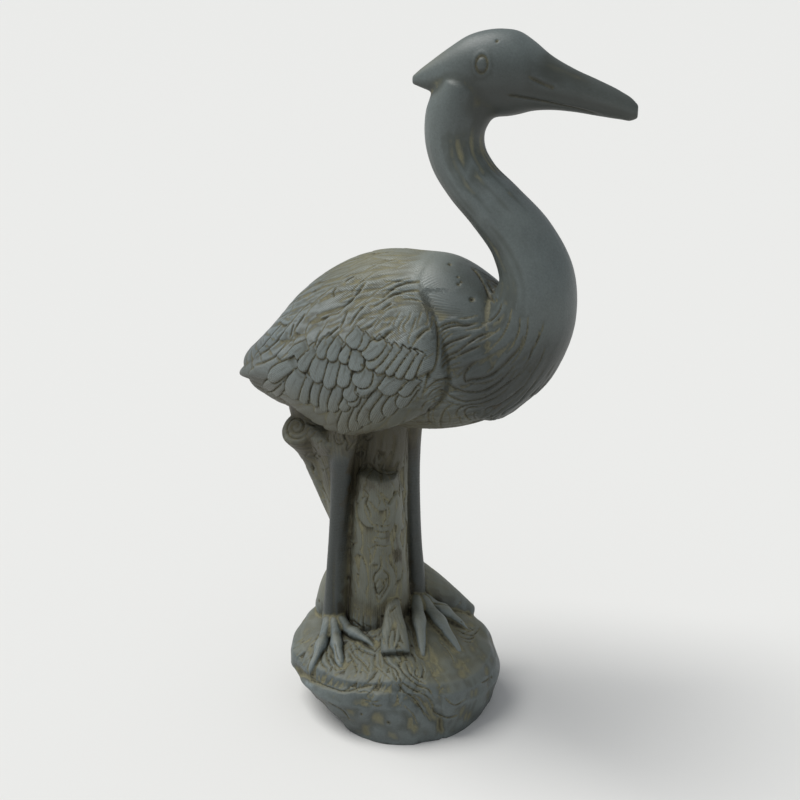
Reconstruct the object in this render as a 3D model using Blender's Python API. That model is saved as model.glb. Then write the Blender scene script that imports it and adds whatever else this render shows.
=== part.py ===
"""Garden statue: a heron of cast stone, standing on a rock mound against a tree trunk.

The whole statue is one casting. The bird looks along +X, +Z is up, and the origin is at the
centre of the flat underside. Lengths are in metres and angles in degrees.
"""
import math

import bmesh
import bpy
import numpy as np

# Driving dimensions of the rock mound
MOUND_DIAMETER = 0.272
MOUND_WALL_HEIGHT = 0.074
MOUND_CROWN_HEIGHT = 0.044

# Driving dimensions of the tree trunk
TRUNK_DIAMETER = 0.078
TRUNK_STUB_DIAMETER = 0.048
TRUNK_STUB_LENGTH = 0.205
BRANCH_DIAMETER = 0.047
BRANCH_REACH = 0.104
WEB_SHARE = 0.50
NEAR_WEB_SET_BACK = 0.008
FAR_WEB_SET_BACK = 0.015
SLAB_WIDTH = 0.034
SLAB_THICKNESS = 0.026
BARK_DEPTH = 0.0014
BARK_PLATE_LENGTH = 0.052
BARK_PLATE_WIDTH = 0.016

# Driving dimensions of the legs and feet
LEG_LENGTH = 0.268
LEG_DIAMETER = 0.0235
LEG_SPACING = 0.090
STRIDE = 0.075
HIP_SET_BACK = 0.029
ANKLE_SET_BACK = 0.010
TOE_LENGTH = 0.081
TOE_DIAMETER = 0.0152

# Driving dimensions of the body and wings
BODY_LENGTH = 0.450
BODY_DEPTH = 0.232
BODY_WIDTH = 0.170
WING_LENGTH = 0.325
WING_DEPTH = 0.186
WING_SPAN = 0.196
WING_THICKNESS = 0.048

# Driving dimensions of the neck and head
NECK_HEIGHT = 0.285
NECK_DIAMETER = 0.069
BREAST_WIDTH = 0.122
SKULL_LENGTH = 0.136
SKULL_DEPTH = 0.0955
SKULL_WIDTH = 0.0645
BEAK_LENGTH = 0.119
HEAD_TURN = 18.0
EYE_DIAMETER = 0.0145
MOUTH_DEPTH = 0.0014
MOUTH_WIDTH = 0.0027
NOSTRIL_DEPTH = 0.0012
NOSTRIL_WIDTH = 0.0019

# Driving dimensions of the carving
FEATHER_LENGTH = 0.047
FEATHER_WIDTH = 0.0235
FEATHER_LIFT = 0.0062
PLUME_LENGTH = 0.105
PLUME_WIDTH = 0.0150
PLUME_LIFT = 0.0042
LOCK_LENGTH = 0.080
LOCK_WIDTH = 0.0150
LOCK_LIFT = 0.0046
GRASS_LENGTH = 0.050
GRASS_WIDTH = 0.010
GRASS_LIFT = 0.0020
EDGE_FADE = 0.005

# Fineness of the form: the grid that joins the pieces, and the faces kept at the end
GRID = 0.0030
MOST_FACES = 9700
CUT_ALLOWANCE = 0.010
JOIN_ROUNDS = 14
FILL_ROUNDS = 70

# Finish of the cast stone
STONE_COLOUR = (0.105, 0.115, 0.100, 1.0)
STONE_ROUGHNESS = 0.62
STONE_METALLIC = 0.0

# Levels and places worked out from the sizes above
ANKLE_Z = MOUND_WALL_HEIGHT + MOUND_CROWN_HEIGHT
BELLY_Z = ANKLE_Z + LEG_LENGTH
BODY_AXIS_Z = BELLY_Z + 0.47 * BODY_DEPTH
NECK_ROOT = np.array([0.346 * BODY_LENGTH, 0.0, BELLY_Z + 0.50 * BODY_DEPTH])
HEAD_ORIGIN = NECK_ROOT + NECK_HEIGHT * np.array([-0.270, 0.0, 0.998])
HIP_X = -HIP_SET_BACK


def smooth_curve(knots, values, at):
    """Values read at `at` from a smooth curve that passes through the knots."""
    knots = np.asarray(knots, float)
    values = np.asarray(values, float)
    at = np.asarray(at, float)
    slopes = np.gradient(values, knots, axis=0)
    i = np.clip(np.searchsorted(knots, at, side="right") - 1, 0, len(knots) - 2)
    gap = knots[i + 1] - knots[i]
    t = (at - knots[i]) / gap
    if values.ndim > 1:
        gap = gap[:, None]
        t = t[:, None]
    start = (2 * t**3 - 3 * t**2 + 1) * values[i] + (t**3 - 2 * t**2 + t) * gap * slopes[i]
    end = (3 * t**2 - 2 * t**3) * values[i + 1] + (t**3 - t**2) * gap * slopes[i + 1]
    return start + end


def ramp(value, low, high):
    """0 below low, 1 above high and a soft step between."""
    t = np.clip((value - low) / (high - low), 0.0, 1.0)
    return t * t * (3 - 2 * t)


def turn(count):
    return np.linspace(0.0, 2 * math.pi, count, endpoint=False)


def skin(name, rings):
    """A closed shell over a stack of rings, with a fan of faces over each end."""
    rings = np.asarray(rings)
    count, around = rings.shape[:2]
    points = list(rings.reshape(-1, 3)) + [rings[0].mean(0), rings[-1].mean(0)]
    faces = []
    for i in range(count - 1):
        for j in range(around):
            a = i * around + j
            b = i * around + (j + 1) % around
            faces.append((a, b, b + around, a + around))
    last = (count - 1) * around
    for j in range(around):
        k = (j + 1) % around
        faces.append((count * around, k, j))
        faces.append((count * around + 1, last + j, last + k))
    mesh = bpy.data.meshes.new(name)
    mesh.from_pydata([tuple(map(float, p)) for p in points], [], faces)
    bm = bmesh.new()
    bm.from_mesh(mesh)
    bmesh.ops.recalc_face_normals(bm, faces=bm.faces[:])
    bm.to_mesh(mesh)
    bm.free()
    obj = bpy.data.objects.new(name, mesh)
    bpy.context.scene.collection.objects.link(obj)
    return obj


def loft(name, origin, heading, stations, step=0.004, around=40):
    """A shell along a level axis. A station is (along, top, bottom, half width), from the origin."""
    stations = np.array(stations, float)
    s = np.arange(stations[0, 0], stations[-1, 0] + step / 2, step)
    top, bottom, half = (smooth_curve(stations[:, 0], stations[:, k], s) for k in (1, 2, 3))
    angle = turn(around)
    middle = (top + bottom) / 2
    up = middle[:, None] + ((top - bottom) / 2)[:, None] * np.sin(angle)
    side = np.maximum(half, 0.0008)[:, None] * np.cos(angle)
    along = np.repeat(s[:, None], around, axis=1)
    c, sn = math.cos(heading), math.sin(heading)
    rings = np.stack([along * c - side * sn, along * sn + side * c, up], axis=-1)
    return skin(name, rings + np.asarray(origin))


def tube(name, route, radii, side_radii=None, flat=(0, 1, 0), dome=0.4, step=0.004, around=24,
         squareness=0.0):
    """A round or oval bar along a smooth route, with domed ends. Squareness flattens its sides."""
    route = np.array(route, float)
    run = np.concatenate([[0.0], np.cumsum(np.linalg.norm(np.diff(route, axis=0), axis=1))])
    t = np.linspace(0.0, run[-1], max(4, int(run[-1] / step)))
    centre = smooth_curve(run, route, t)
    radius = smooth_curve(run, np.array(radii, float), t)
    side = radius if side_radii is None else smooth_curve(run, np.array(side_radii, float), t)
    ahead = np.gradient(centre, t, axis=0)
    ahead /= np.linalg.norm(ahead, axis=1)[:, None]
    across = np.array(flat, float) - (ahead @ np.array(flat, float))[:, None] * ahead
    across /= np.linalg.norm(across, axis=1)[:, None]
    up = np.cross(ahead, across)
    angle = turn(around)
    rise, swing = (np.sign(v) * np.abs(v) ** (1 - squareness) for v in (np.cos(angle), np.sin(angle)))
    spread = (rise[None, :, None] * (up * radius[:, None])[:, None]
              + swing[None, :, None] * (across * side[:, None])[:, None])
    rings = list(centre[:, None] + spread)
    for share in (0.35, 0.7, 0.92):
        size = math.sqrt(1 - share * share)
        rings.insert(0, centre[0] - ahead[0] * radius[0] * dome * share + spread[0] * size)
        rings.append(centre[-1] + ahead[-1] * radius[-1] * dome * share + spread[-1] * size)
    return skin(name, rings)


# Shape of the mound every 30 degrees round, counted from +X: radius of the wall, radius where it
# meets the ground, and height of the wall's top edge, as shares of the mound's own sizes
WALL_SHARES = (0.99, 1.00, 0.95, 0.90, 0.93, 0.97, 1.03, 1.08, 1.03, 1.00, 0.98, 0.98)
GROUND_SHARES = (0.92, 0.92, 0.86, 0.82, 0.82, 0.82, 0.74, 0.64, 0.68, 0.88, 0.97, 0.95)
EDGE_SHARES = (0.80, 0.88, 1.10, 1.25, 1.28, 1.36, 1.34, 1.10, 0.92, 0.98, 1.08, 0.90)


def round_shares(shares, angle):
    """A closed smooth curve through values that are evenly spaced round the mound."""
    count = len(shares)
    looped = [shares[k % count] for k in range(-2, count + 3)]
    knots = np.arange(-2, count + 3) * 2 * math.pi / count
    return smooth_curve(knots, looped, np.mod(angle, 2 * math.pi))


def mound_section(angle):
    """Rows of (radius, height) from the ground up to the crown, for each angle."""
    radius = MOUND_DIAMETER / 2
    wall = radius * round_shares(WALL_SHARES, angle)
    ground = radius * round_shares(GROUND_SHARES, angle)
    edge = MOUND_WALL_HEIGHT * round_shares(EDGE_SHARES, angle)
    crown = ANKLE_Z
    rows = [(ground, 0 * edge - CUT_ALLOWANCE), (ground, 0 * edge)]
    for share, height in ((0.36, 0.20), (0.73, 0.43), (1.0, 0.68)):
        rows.append((ground + (wall - ground) * share, edge * height))
    rows.append((wall * 0.97, edge * 0.93))
    for share, rise in ((0.90, 0.13), (0.80, 0.27), (0.65, 0.42), (0.48, 0.60), (0.30, 0.84), (0.12, 1.0)):
        rows.append((wall * share, edge + (crown - edge) * rise))
    return rows


def mound_height(x, y):
    """Height of the mound's upper surface over a point."""
    reach = math.hypot(x, y)
    rows = [(float(r[0]), float(z[0])) for r, z in mound_section(np.array([math.atan2(y, x)]))]
    upper = rows[:3:-1]
    return float(np.interp(reach, [r for r, z in upper], [z for r, z in upper]))


def make_mound():
    angle = turn(96)
    rings = []
    for radius, height in mound_section(angle):
        rings.append(np.stack([radius * np.cos(angle), radius * np.sin(angle), height], axis=1))
    return [skin("mound", rings)]


def on_mound(ahead, left, sunk):
    """A point over the mound, in shares of its radius, sunk below its surface by a length."""
    x, y = ahead * MOUND_DIAMETER / 2, left * MOUND_DIAMETER / 2
    return x, y, mound_height(x, y) - sunk


def make_trunk():
    """The trunk behind the legs, its cut stub in front, two roots and a slab of rock at its foot."""
    half = TRUNK_DIAMETER / 2
    stub = TRUNK_STUB_DIAMETER / 2
    radius = MOUND_DIAMETER / 2
    x = HIP_X - 0.13 * half
    foot = MOUND_WALL_HEIGHT * 0.5
    rise = BELLY_Z + 0.2 * BODY_DEPTH - foot
    trunk = tube("trunk", [(x - 0.05 * half, 0.26 * half, foot),
                           (x - 0.05 * half, 0.26 * half, foot + 0.3 * rise),
                           (x, 0.31 * half, foot + 0.6 * rise), (x, 0.36 * half, foot + rise)],
                 [1.45 * half, 1.02 * half, 0.88 * half, 0.9 * half], around=32)
    front = tube("front_stub", [(x + 0.08 * stub, -0.08 * stub, ANKLE_Z - 0.4 * MOUND_WALL_HEIGHT),
                                (x + 0.29 * stub, -0.36 * stub, ANKLE_Z + 0.45 * TRUNK_STUB_LENGTH),
                                (x + 0.54 * stub, -0.74 * stub, ANKLE_Z + 0.90 * TRUNK_STUB_LENGTH),
                                (x + 0.62 * stub, -0.82 * stub, ANKLE_Z + TRUNK_STUB_LENGTH)],
                 [1.85 * stub, 1.54 * stub, 1.20 * stub, 1.04 * stub], dome=0.20)
    root = tube("root", [(x + 0.06 * radius, 0.35 * radius, ANKLE_Z + 0.165 * LEG_LENGTH),
                         (x + 0.22 * radius, 0.57 * radius, ANKLE_Z + 0.015 * LEG_LENGTH),
                         on_mound(0.315, 0.786, 0.35 * half)],
                [0.55 * half, 0.70 * half, 0.55 * half])
    back_root = tube("back_root", [(x - 0.07 * radius, 0.0, ANKLE_Z + 0.22 * LEG_LENGTH),
                                   (x - 0.31 * radius, 0.0, ANKLE_Z + 0.08 * LEG_LENGTH),
                                   on_mound(-0.735, 0.0, 0.2 * half)],
                     [0.8 * half, 1.0 * half, 0.8 * half])
    thick, wide = SLAB_THICKNESS / 2, SLAB_WIDTH / 2
    slab = tube("slab", [(0.02 * radius, -0.15 * radius, ANKLE_Z + 0.36 * MOUND_WALL_HEIGHT),
                         (0.13 * radius, -0.32 * radius, ANKLE_Z + 0.03 * MOUND_WALL_HEIGHT),
                         on_mound(0.245, -0.495, 0.0)],
                [0.8 * thick, thick, 0.85 * thick], [0.5 * wide, 0.85 * wide, wide],
                flat=(0.866, 0.5, 0), dome=0.10, squareness=0.55)
    return [trunk, front, root, back_root, slab]


# Places along the branch: back from the trunk and to the right in shares of its reach, then up
# from the ankles as a share of the legs' length, and its radius in shares of its own
BRANCH_ROUTE = ((0.04, -0.06, 0.24, 1.15), (0.36, -0.02, 0.50, 1.20), (0.61, 0.02, 0.70, 1.15),
                (0.75, 0.16, 0.85, 1.05), (0.78, 0.46, 0.965, 1.00))


def branch_place(back, right, up):
    start = HIP_X - 0.31 * TRUNK_DIAMETER / 2
    return np.array([start - back * BRANCH_REACH, -right * BRANCH_REACH, ANKLE_Z + up * LEG_LENGTH])


def make_branch():
    """The cut branch under the tail, with webs of wood that tie it to the belly and nearer leg."""
    half = BRANCH_DIAMETER / 2
    branch = tube("branch", [branch_place(*place) for *place, _ in BRANCH_ROUTE],
                  [half * radius for *_, radius in BRANCH_ROUTE], dome=0.1)
    web = tube("web", [branch_place(0.10, -0.04, 0.50), branch_place(0.30, 0.0, 0.75),
                       branch_place(0.48, 0.04, 1.05)],
               [0.8 * half, 1.1 * half, 1.4 * half])
    collar = tube("collar", [branch_place(0.66, 0.04, 0.85), branch_place(0.80, 0.13, 1.04),
                             branch_place(0.70, 0.13, 1.26)],
                  [1.0 * half, 1.25 * half, 1.2 * half])
    route, thick, wide = [], [], []
    for *place, _ in BRANCH_ROUTE[1:]:
        wood = branch_place(*place)
        leg = leg_place(-1, place[2])
        route.append((wood + leg) / 2)
        thick.append(0.65 * half)
        wide.append(0.50 * math.dist(wood, leg))
    bark = tube("bark_web", route, thick, wide, flat=(0.85, -0.5, 0))
    return [branch, web, collar, bark]


# Half widths of the webs between the legs and the trunk, as shares of the legs' spacing
WEB_WIDTHS = {-1: 0.43, 1: 0.37}


def make_webs():
    """Stone between each leg and the trunk, set back from the front of both."""
    pieces = []
    half = TRUNK_DIAMETER / 2
    for side, set_back in ((-1, NEAR_WEB_SET_BACK), (1, FAR_WEB_SET_BACK)):
        route = []
        for level in LEG_LEVELS:
            leg = leg_place(side, level)
            core = np.array([HIP_X - 0.31 * half, 0.31 * half, leg[2]])
            route.append(leg * (1 - WEB_SHARE) + core * WEB_SHARE - np.array([set_back, 0.0, 0.0]))
        thick = 0.46 * LEG_DIAMETER
        wide = WEB_WIDTHS[side] * LEG_SPACING
        pieces.append(tube("leg_web", route, [thick] * len(route), [wide] * len(route)))
    return pieces


# Each leg leans a little: how far its parts lie ahead of the ankle, as shares of the leg's length
LEG_LEVELS = (-0.045, 0.12, 0.30, 0.52, 0.76, 0.95, 1.16)
LEG_RADII = (1.25, 1.02, 0.94, 1.00, 1.18, 1.50, 2.60)
LEG_LEAN = {-1: (0.0, 0.008, 0.022, 0.044, 0.064, 0.080, 0.100),
            1: (0.0, 0.010, -0.004, -0.019, -0.030, -0.032, -0.035)}
# The three front toes of each foot, in degrees from +X, with lengths as shares of TOE_LENGTH
TOES = {-1: ((-82.0, 0.92), (-50.0, 0.96), (-14.0, 0.94)),
        1: ((-55.0, 1.33), (-24.0, 1.20), (10.0, 0.92))}


def ankle(side):
    return np.array([HIP_X + side * 0.5 * STRIDE - ANKLE_SET_BACK, side * LEG_SPACING / 2, ANKLE_Z])


def leg_place(side, level):
    """The middle of a leg at a level from its ankle, as a share of the leg's length."""
    lean = np.interp(level, LEG_LEVELS, LEG_LEAN[side])
    return ankle(side) + LEG_LENGTH * np.array([lean, 0.0, level])


def make_legs():
    pieces = []
    for side in (-1, 1):
        route = [leg_place(side, level) for level in LEG_LEVELS]
        pieces.append(tube("leg", route, [LEG_DIAMETER / 2 * r for r in LEG_RADII], dome=0.5))
    return pieces


# A toe from ankle to claw tip: share of its length, lift over the mound and thickness in toe radii
TOE_ROUTE = ((0.00, 0.30, 1.35), (0.20, 0.68, 1.10), (0.40, 0.62, 0.96), (0.58, 0.70, 1.12),
             (0.70, 0.50, 0.84), (0.86, 0.30, 0.64), (1.00, -0.05, 0.32))
TOE_THICKNESS = {-1: 0.96, 1: 1.18}
TOE_SLOPE = 0.45


def toe_lines():
    """For each toe: its side, and the points of its middle line from the ankle to the tip."""
    lines = []
    half = TOE_DIAMETER / 2
    for side in (-1, 1):
        start = ankle(side)
        for angle, length in TOES[side]:
            ahead = np.array([math.cos(math.radians(angle)), math.sin(math.radians(angle)), 0.0])
            drop = ANKLE_Z - mound_height(start[0], start[1])
            line = []
            for share, lift, _ in TOE_ROUTE:
                spot = start + ahead * TOE_LENGTH * length * share
                ground = mound_height(spot[0], spot[1]) + drop * max(0.0, 1 - share / TOE_SLOPE)
                line.append((spot[0], spot[1], ground + half * TOE_THICKNESS[side] * lift))
            lines.append((side, line))
    return lines


def make_feet():
    """Three long toes on each foot, which lie on the mound and end in a claw."""
    pieces = []
    for side, line in toe_lines():
        radii = [TOE_DIAMETER / 2 * TOE_THICKNESS[side] * thick for _, _, thick in TOE_ROUTE]
        pieces.append(tube("toe", line, radii, dome=0.9, step=0.003, around=16, flat=(0, 0, 1)))
    return pieces


# Stations of the body from tail tip to breast: place along the body's length, then top and
# bottom above the belly line as shares of its depth, then half width as a share of its width
BODY_STATIONS = ((-0.503, 0.275, 0.210, 0.050), (-0.491, 0.315, 0.160, 0.140),
                 (-0.462, 0.370, 0.110, 0.230), (-0.390, 0.510, 0.045, 0.340),
                 (-0.280, 0.730, 0.012, 0.435), (-0.170, 0.880, 0.008, 0.485),
                 (-0.060, 0.965, 0.015, 0.500), (0.055, 0.990, 0.030, 0.500),
                 (0.165, 0.985, 0.065, 0.480), (0.255, 0.905, 0.125, 0.440),
                 (0.340, 0.780, 0.220, 0.370), (0.405, 0.650, 0.340, 0.270),
                 (0.435, 0.560, 0.430, 0.150))


def make_body():
    stations = [(x * BODY_LENGTH, top * BODY_DEPTH, bottom * BODY_DEPTH, half * BODY_WIDTH)
                for x, top, bottom, half in BODY_STATIONS]
    return [loft("body", (0.0, 0.0, BELLY_Z), 0.0, stations)]


# Stations of a wing from tip to bend: place along the wing, top and bottom as shares of its depth,
# the middle's place out from the body as a share of half the span, and thickness as a share
WING_STATIONS = ((0.000, 0.300, 0.200, 0.36, 0.20), (0.045, 0.370, 0.200, 0.41, 0.45),
                 (0.170, 0.540, 0.180, 0.54, 0.72), (0.325, 0.740, 0.090, 0.67, 0.90),
                 (0.480, 0.895, 0.015, 0.75, 1.00), (0.665, 1.000, 0.070, 0.81, 1.06),
                 (0.790, 1.010, 0.165, 0.82, 1.08), (0.900, 0.970, 0.290, 0.82, 1.00),
                 (0.962, 0.880, 0.390, 0.795, 0.78), (1.000, 0.740, 0.520, 0.74, 0.30))
WING_TIP_X = -0.482


def make_wings():
    """Folded wings, which lean against the body at their upper and lower edges."""
    pieces = []
    table = np.array(WING_STATIONS)
    share = np.linspace(0.0, 1.0, 84)
    top, bottom, out, thick = (smooth_curve(table[:, 0], table[:, k], share) for k in (1, 2, 3, 4))
    angle = turn(36)
    up = np.clip(np.sin(angle), 0, 1) ** 2
    down = np.clip(-np.sin(angle), 0, 1) ** 2
    for side in (-1, 1):
        rings = []
        for k, along in enumerate(share):
            x = WING_TIP_X * BODY_LENGTH + along * WING_LENGTH
            middle = (top[k] + bottom[k]) / 2
            half = (top[k] - bottom[k]) / 2
            z = BELLY_Z + WING_DEPTH * (middle + half * np.sin(angle))
            y = (out[k] * WING_SPAN / 2 + thick[k] * WING_THICKNESS / 2 * np.cos(angle)
                 - 0.36 * WING_THICKNESS * up - 0.30 * WING_THICKNESS * down)
            rings.append(np.stack([np.full(len(angle), x), side * y, z], axis=1))
        pieces.append(skin("wing", rings))
    return pieces


# The neck's middle line from the breast to the head, as shares of its height from the root,
# with its radius front to back and from side to side as shares of NECK_DIAMETER
NECK_ROUTE = ((-0.135, -0.105), (0.006, 0.055), (0.086, 0.210), (0.099, 0.350), (0.036, 0.490),
              (-0.091, 0.622), (-0.205, 0.725), (-0.264, 0.810), (-0.286, 0.900), (-0.274, 1.000),
              (-0.244, 1.080))
NECK_RADII = (0.82, 0.84, 0.745, 0.635, 0.550, 0.485, 0.460, 0.475, 0.495, 0.500, 0.42)
NECK_SIDES = (1.00, 0.94, 0.78, 0.66, 0.58, 0.53, 0.50, 0.50, 0.51, 0.52, 0.46)


def neck_points():
    return [NECK_ROOT + NECK_HEIGHT * np.array([x, 0.0, z]) for x, z in NECK_ROUTE]


def make_neck():
    radii = [NECK_DIAMETER * r for r in NECK_RADII]
    sides = []
    for k, share in enumerate(NECK_SIDES):
        low = max(0.0, 1 - k / 3)
        sides.append(share * (BREAST_WIDTH / 2 * low + NECK_DIAMETER * (1 - low)))
    return [tube("neck", neck_points(), radii, sides, dome=0.8, around=36)]


# Stations of the skull from crest tip to the beak's root, along SKULL_LENGTH, then of the beak
# along BEAK_LENGTH: top and bottom over the head's origin in SKULL_DEPTH, half width in SKULL_WIDTH
SKULL_STATIONS = ((-0.390, 0.395, 0.305, 0.050), (-0.340, 0.460, 0.275, 0.110),
                  (-0.230, 0.582, 0.215, 0.210), (-0.075, 0.742, 0.110, 0.335),
                  (0.075, 0.876, 0.025, 0.440), (0.225, 0.942, -0.030, 0.495),
                  (0.370, 0.960, -0.060, 0.510), (0.510, 0.928, -0.025, 0.470),
                  (0.625, 0.828, 0.018, 0.405))
BEAK_STATIONS = ((0.145, 0.685, 0.035, 0.345), (0.380, 0.520, 0.022, 0.280),
                 (0.620, 0.392, -0.018, 0.225), (0.830, 0.270, -0.052, 0.170),
                 (0.945, 0.180, -0.062, 0.125), (1.000, 0.110, -0.030, 0.060))


# The throat, from the neck to the beak's root, in shares of the skull's length from its origin
THROAT_ROUTE = ((0.06, 0.010, -0.10), (0.16, 0.030, 0.04), (0.33, 0.090, 0.16))
THROAT_RADII = (0.185, 0.165, 0.140)


def make_head():
    stations = [(x * SKULL_LENGTH, top * SKULL_DEPTH, bottom * SKULL_DEPTH, half * SKULL_WIDTH)
                for x, top, bottom, half in SKULL_STATIONS]
    root = SKULL_STATIONS[-1][0] * SKULL_LENGTH
    stations += [(root + x * BEAK_LENGTH, top * SKULL_DEPTH, bottom * SKULL_DEPTH, half * SKULL_WIDTH)
                 for x, top, bottom, half in BEAK_STATIONS]
    places = [HEAD_ORIGIN + SKULL_LENGTH * np.array(place) for place in THROAT_ROUTE]
    throat = tube("throat", places, [SKULL_LENGTH * radius for radius in THROAT_RADII])
    return [loft("head", HEAD_ORIGIN, math.radians(HEAD_TURN), stations, step=0.0025), throat]


def fuse(pieces, grid):
    """One closed surface round all the pieces, on an even grid."""
    bpy.ops.object.select_all(action="DESELECT")
    for obj in pieces:
        obj.select_set(True)
    bpy.context.view_layer.objects.active = pieces[0]
    bpy.ops.object.join()
    whole = bpy.context.view_layer.objects.active
    modifier = whole.modifiers.new("Fuse", "REMESH")
    modifier.mode = "VOXEL"
    modifier.voxel_size = grid
    bpy.ops.object.modifier_apply(modifier=modifier.name)
    return whole


def points_of(obj):
    flat = np.empty(len(obj.data.vertices) * 3, np.float32)
    obj.data.vertices.foreach_get("co", flat)
    return flat.reshape(-1, 3).astype(float)


def normals_of(obj):
    flat = np.empty(len(obj.data.vertices) * 3, np.float32)
    obj.data.vertices.foreach_get("normal", flat)
    return flat.reshape(-1, 3).astype(float)


def edges_of(obj):
    flat = np.empty(len(obj.data.edges) * 2, np.int32)
    obj.data.edges.foreach_get("vertices", flat)
    return flat.reshape(-1, 2)


def set_points(obj, points):
    obj.data.vertices.foreach_set("co", points.astype(np.float32).ravel())
    obj.data.update()


def even_out(points, edges, rounds, weight=1.0, keep_volume=True):
    """Takes the grid's steps out of the surface; keep_volume pushes back what each round shrinks."""
    weight = np.broadcast_to(weight, (len(points),))
    edges = edges[(weight[edges] > 0).any(axis=1)]
    start = np.concatenate([edges[:, 0], edges[:, 1]])
    end = np.concatenate([edges[:, 1], edges[:, 0]])
    count = np.maximum(np.bincount(start, minlength=len(points)), 1)[:, None]
    factors = (0.55, -0.57) if keep_volume else (0.5,)
    for _ in range(rounds):
        for factor in factors:
            mean = np.stack([np.bincount(start, weights=points[end, k], minlength=len(points))
                             for k in range(3)], axis=1) / count
            points = points + (mean - points) * factor * weight[:, None]
    return points


def fill_creases(points, normals, edges, rounds, weight):
    """Fills sharp inner corners with stone, and leaves everything that bulges as it is."""
    edges = edges[(weight[edges] > 0).any(axis=1)]
    start = np.concatenate([edges[:, 0], edges[:, 1]])
    end = np.concatenate([edges[:, 1], edges[:, 0]])
    count = np.maximum(np.bincount(start, minlength=len(points)), 1)
    for _ in range(rounds):
        low = np.zeros(len(points))
        for k in range(3):
            mean = np.bincount(start, weights=points[end, k], minlength=len(points)) / count
            low += (mean - points[:, k]) * normals[:, k]
        points = points + normals * (0.5 * weight * np.maximum(low, 0.0))[:, None]
    return points


def near_spots(points, spots):
    """A soft share from 1 at some places to 0 at a reach from each of them."""
    weight = np.zeros(len(points))
    for centre, reach in spots:
        distance = np.linalg.norm(points - centre, axis=1)
        weight = np.maximum(weight, 1 - ramp(distance, 0.35 * reach, reach))
    return weight


def soften_joins(points, normals, edges, grid):
    """Blends the throat into the neck, the neck into the back, and the limbs into the belly."""
    fineness = (GRID / grid) ** 2
    throat = [(HEAD_ORIGIN + SKULL_LENGTH * np.array([0.10, 0.0, -0.05]), 0.50 * SKULL_LENGTH),
              (HEAD_ORIGIN + SKULL_LENGTH * np.array([0.30, 0.08, -0.10]), 0.34 * SKULL_LENGTH)]
    shoulders = []
    for side in (-1, 1):
        bend = WING_TIP_X * BODY_LENGTH + 0.93 * WING_LENGTH
        shoulders.append(np.array([bend, side * 0.30 * WING_SPAN, BELLY_Z + 0.96 * WING_DEPTH]))
    filled = throat + [(place, 0.19 * WING_LENGTH) for place in shoulders]
    points = fill_creases(points, normals, edges, int(FILL_ROUNDS * fineness), near_spots(points, filled))
    bark = [(branch_place(0.60, 0.20, 0.72), 0.45 * LEG_LENGTH)]
    points = fill_creases(points, normals, edges, int(0.3 * FILL_ROUNDS * fineness),
                          near_spots(points, bark))
    spots = [(HEAD_ORIGIN + SKULL_LENGTH * np.array([0.26, 0.08, -0.06]), 0.22 * SKULL_LENGTH),
             (HEAD_ORIGIN + SKULL_LENGTH * np.array([-0.20, -0.05, 0.06]), 0.10 * SKULL_LENGTH),
             (NECK_ROOT + NECK_HEIGHT * np.array([-0.02, 0.0, 0.16]), 0.175 * NECK_HEIGHT)]
    for side, place in zip((-1, 1), shoulders):
        spots.append((leg_place(side, 0.98), 0.11 * LEG_LENGTH))
        spots.append((place, 0.16 * WING_LENGTH))
    return even_out(points, edges, int(JOIN_ROUNDS * fineness), near_spots(points, spots),
                    keep_volume=False)


def chance(i, j, seed):
    """A repeatable random share between 0 and 1 for each cell of a grid."""
    value = np.sin(i * 127.1 + j * 311.7 + seed * 74.7) * 43758.5453
    return value - np.floor(value)


def blades(p, q, cell, length, width, heading, seed, tip=1.0, bend=0.0, spread=0.2, rise=0.75):
    """Height from 0 to 1 of overlapping feathers or locks, laid in staggered rows over (p, q).

    Each one starts in a cell of the grid and runs along its heading. A tip of 1 is round, 0 is a
    point. It lies low at its root and highest near its tip, so that it covers the next row.
    """
    best = np.zeros_like(p)
    column = np.floor(p / cell[0])
    row = np.floor(q / cell[1])
    reach_p = int(math.ceil(length / cell[0])) + 1
    reach_q = int(math.ceil(length / cell[1])) + 1
    for dj in range(-reach_q, reach_q + 1):
        for di in range(-reach_p, 2):
            i = column + di
            j = row + dj
            first = chance(i, j, seed)
            second = chance(j, i, seed + 3.1)
            p0 = (i + 0.5 * np.mod(j, 2) + spread * (first - 0.5)) * cell[0]
            q0 = (j + spread * (second - 0.5)) * cell[1]
            angle = heading(p0, q0) + 0.6 * spread * (second - 0.5)
            c, s = np.cos(angle), np.sin(angle)
            size = 1 + spread * (first - 0.5)
            along = ((p - p0) * c + (q - q0) * s) / (length * size)
            aside = (q - q0) * c - (p - p0) * s
            aside = aside - bend * (first + second - 1.0) * length * along * (1 - along)
            inside = (along > 0) & (along < 1)
            t = np.clip(along, 0.0, 1.0)
            shape = (np.sqrt(np.clip(1 - np.clip((t - 0.6) / 0.4, 0, 1) ** 2, 0, 1)) * tip
                     + (1 - t) ** 0.7 * (1 - tip))
            half = width / 2 * shape * (0.55 + 0.45 * np.clip(t / 0.35, 0, 1))
            edge = 1 - (aside / np.maximum(half, 1e-6)) ** 2
            height = (1 - rise + rise * t) * np.clip(edge, 0, 1) ** 0.35
            best = np.maximum(best, np.where(inside & (edge > 0), height, 0.0))
    return best


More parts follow.
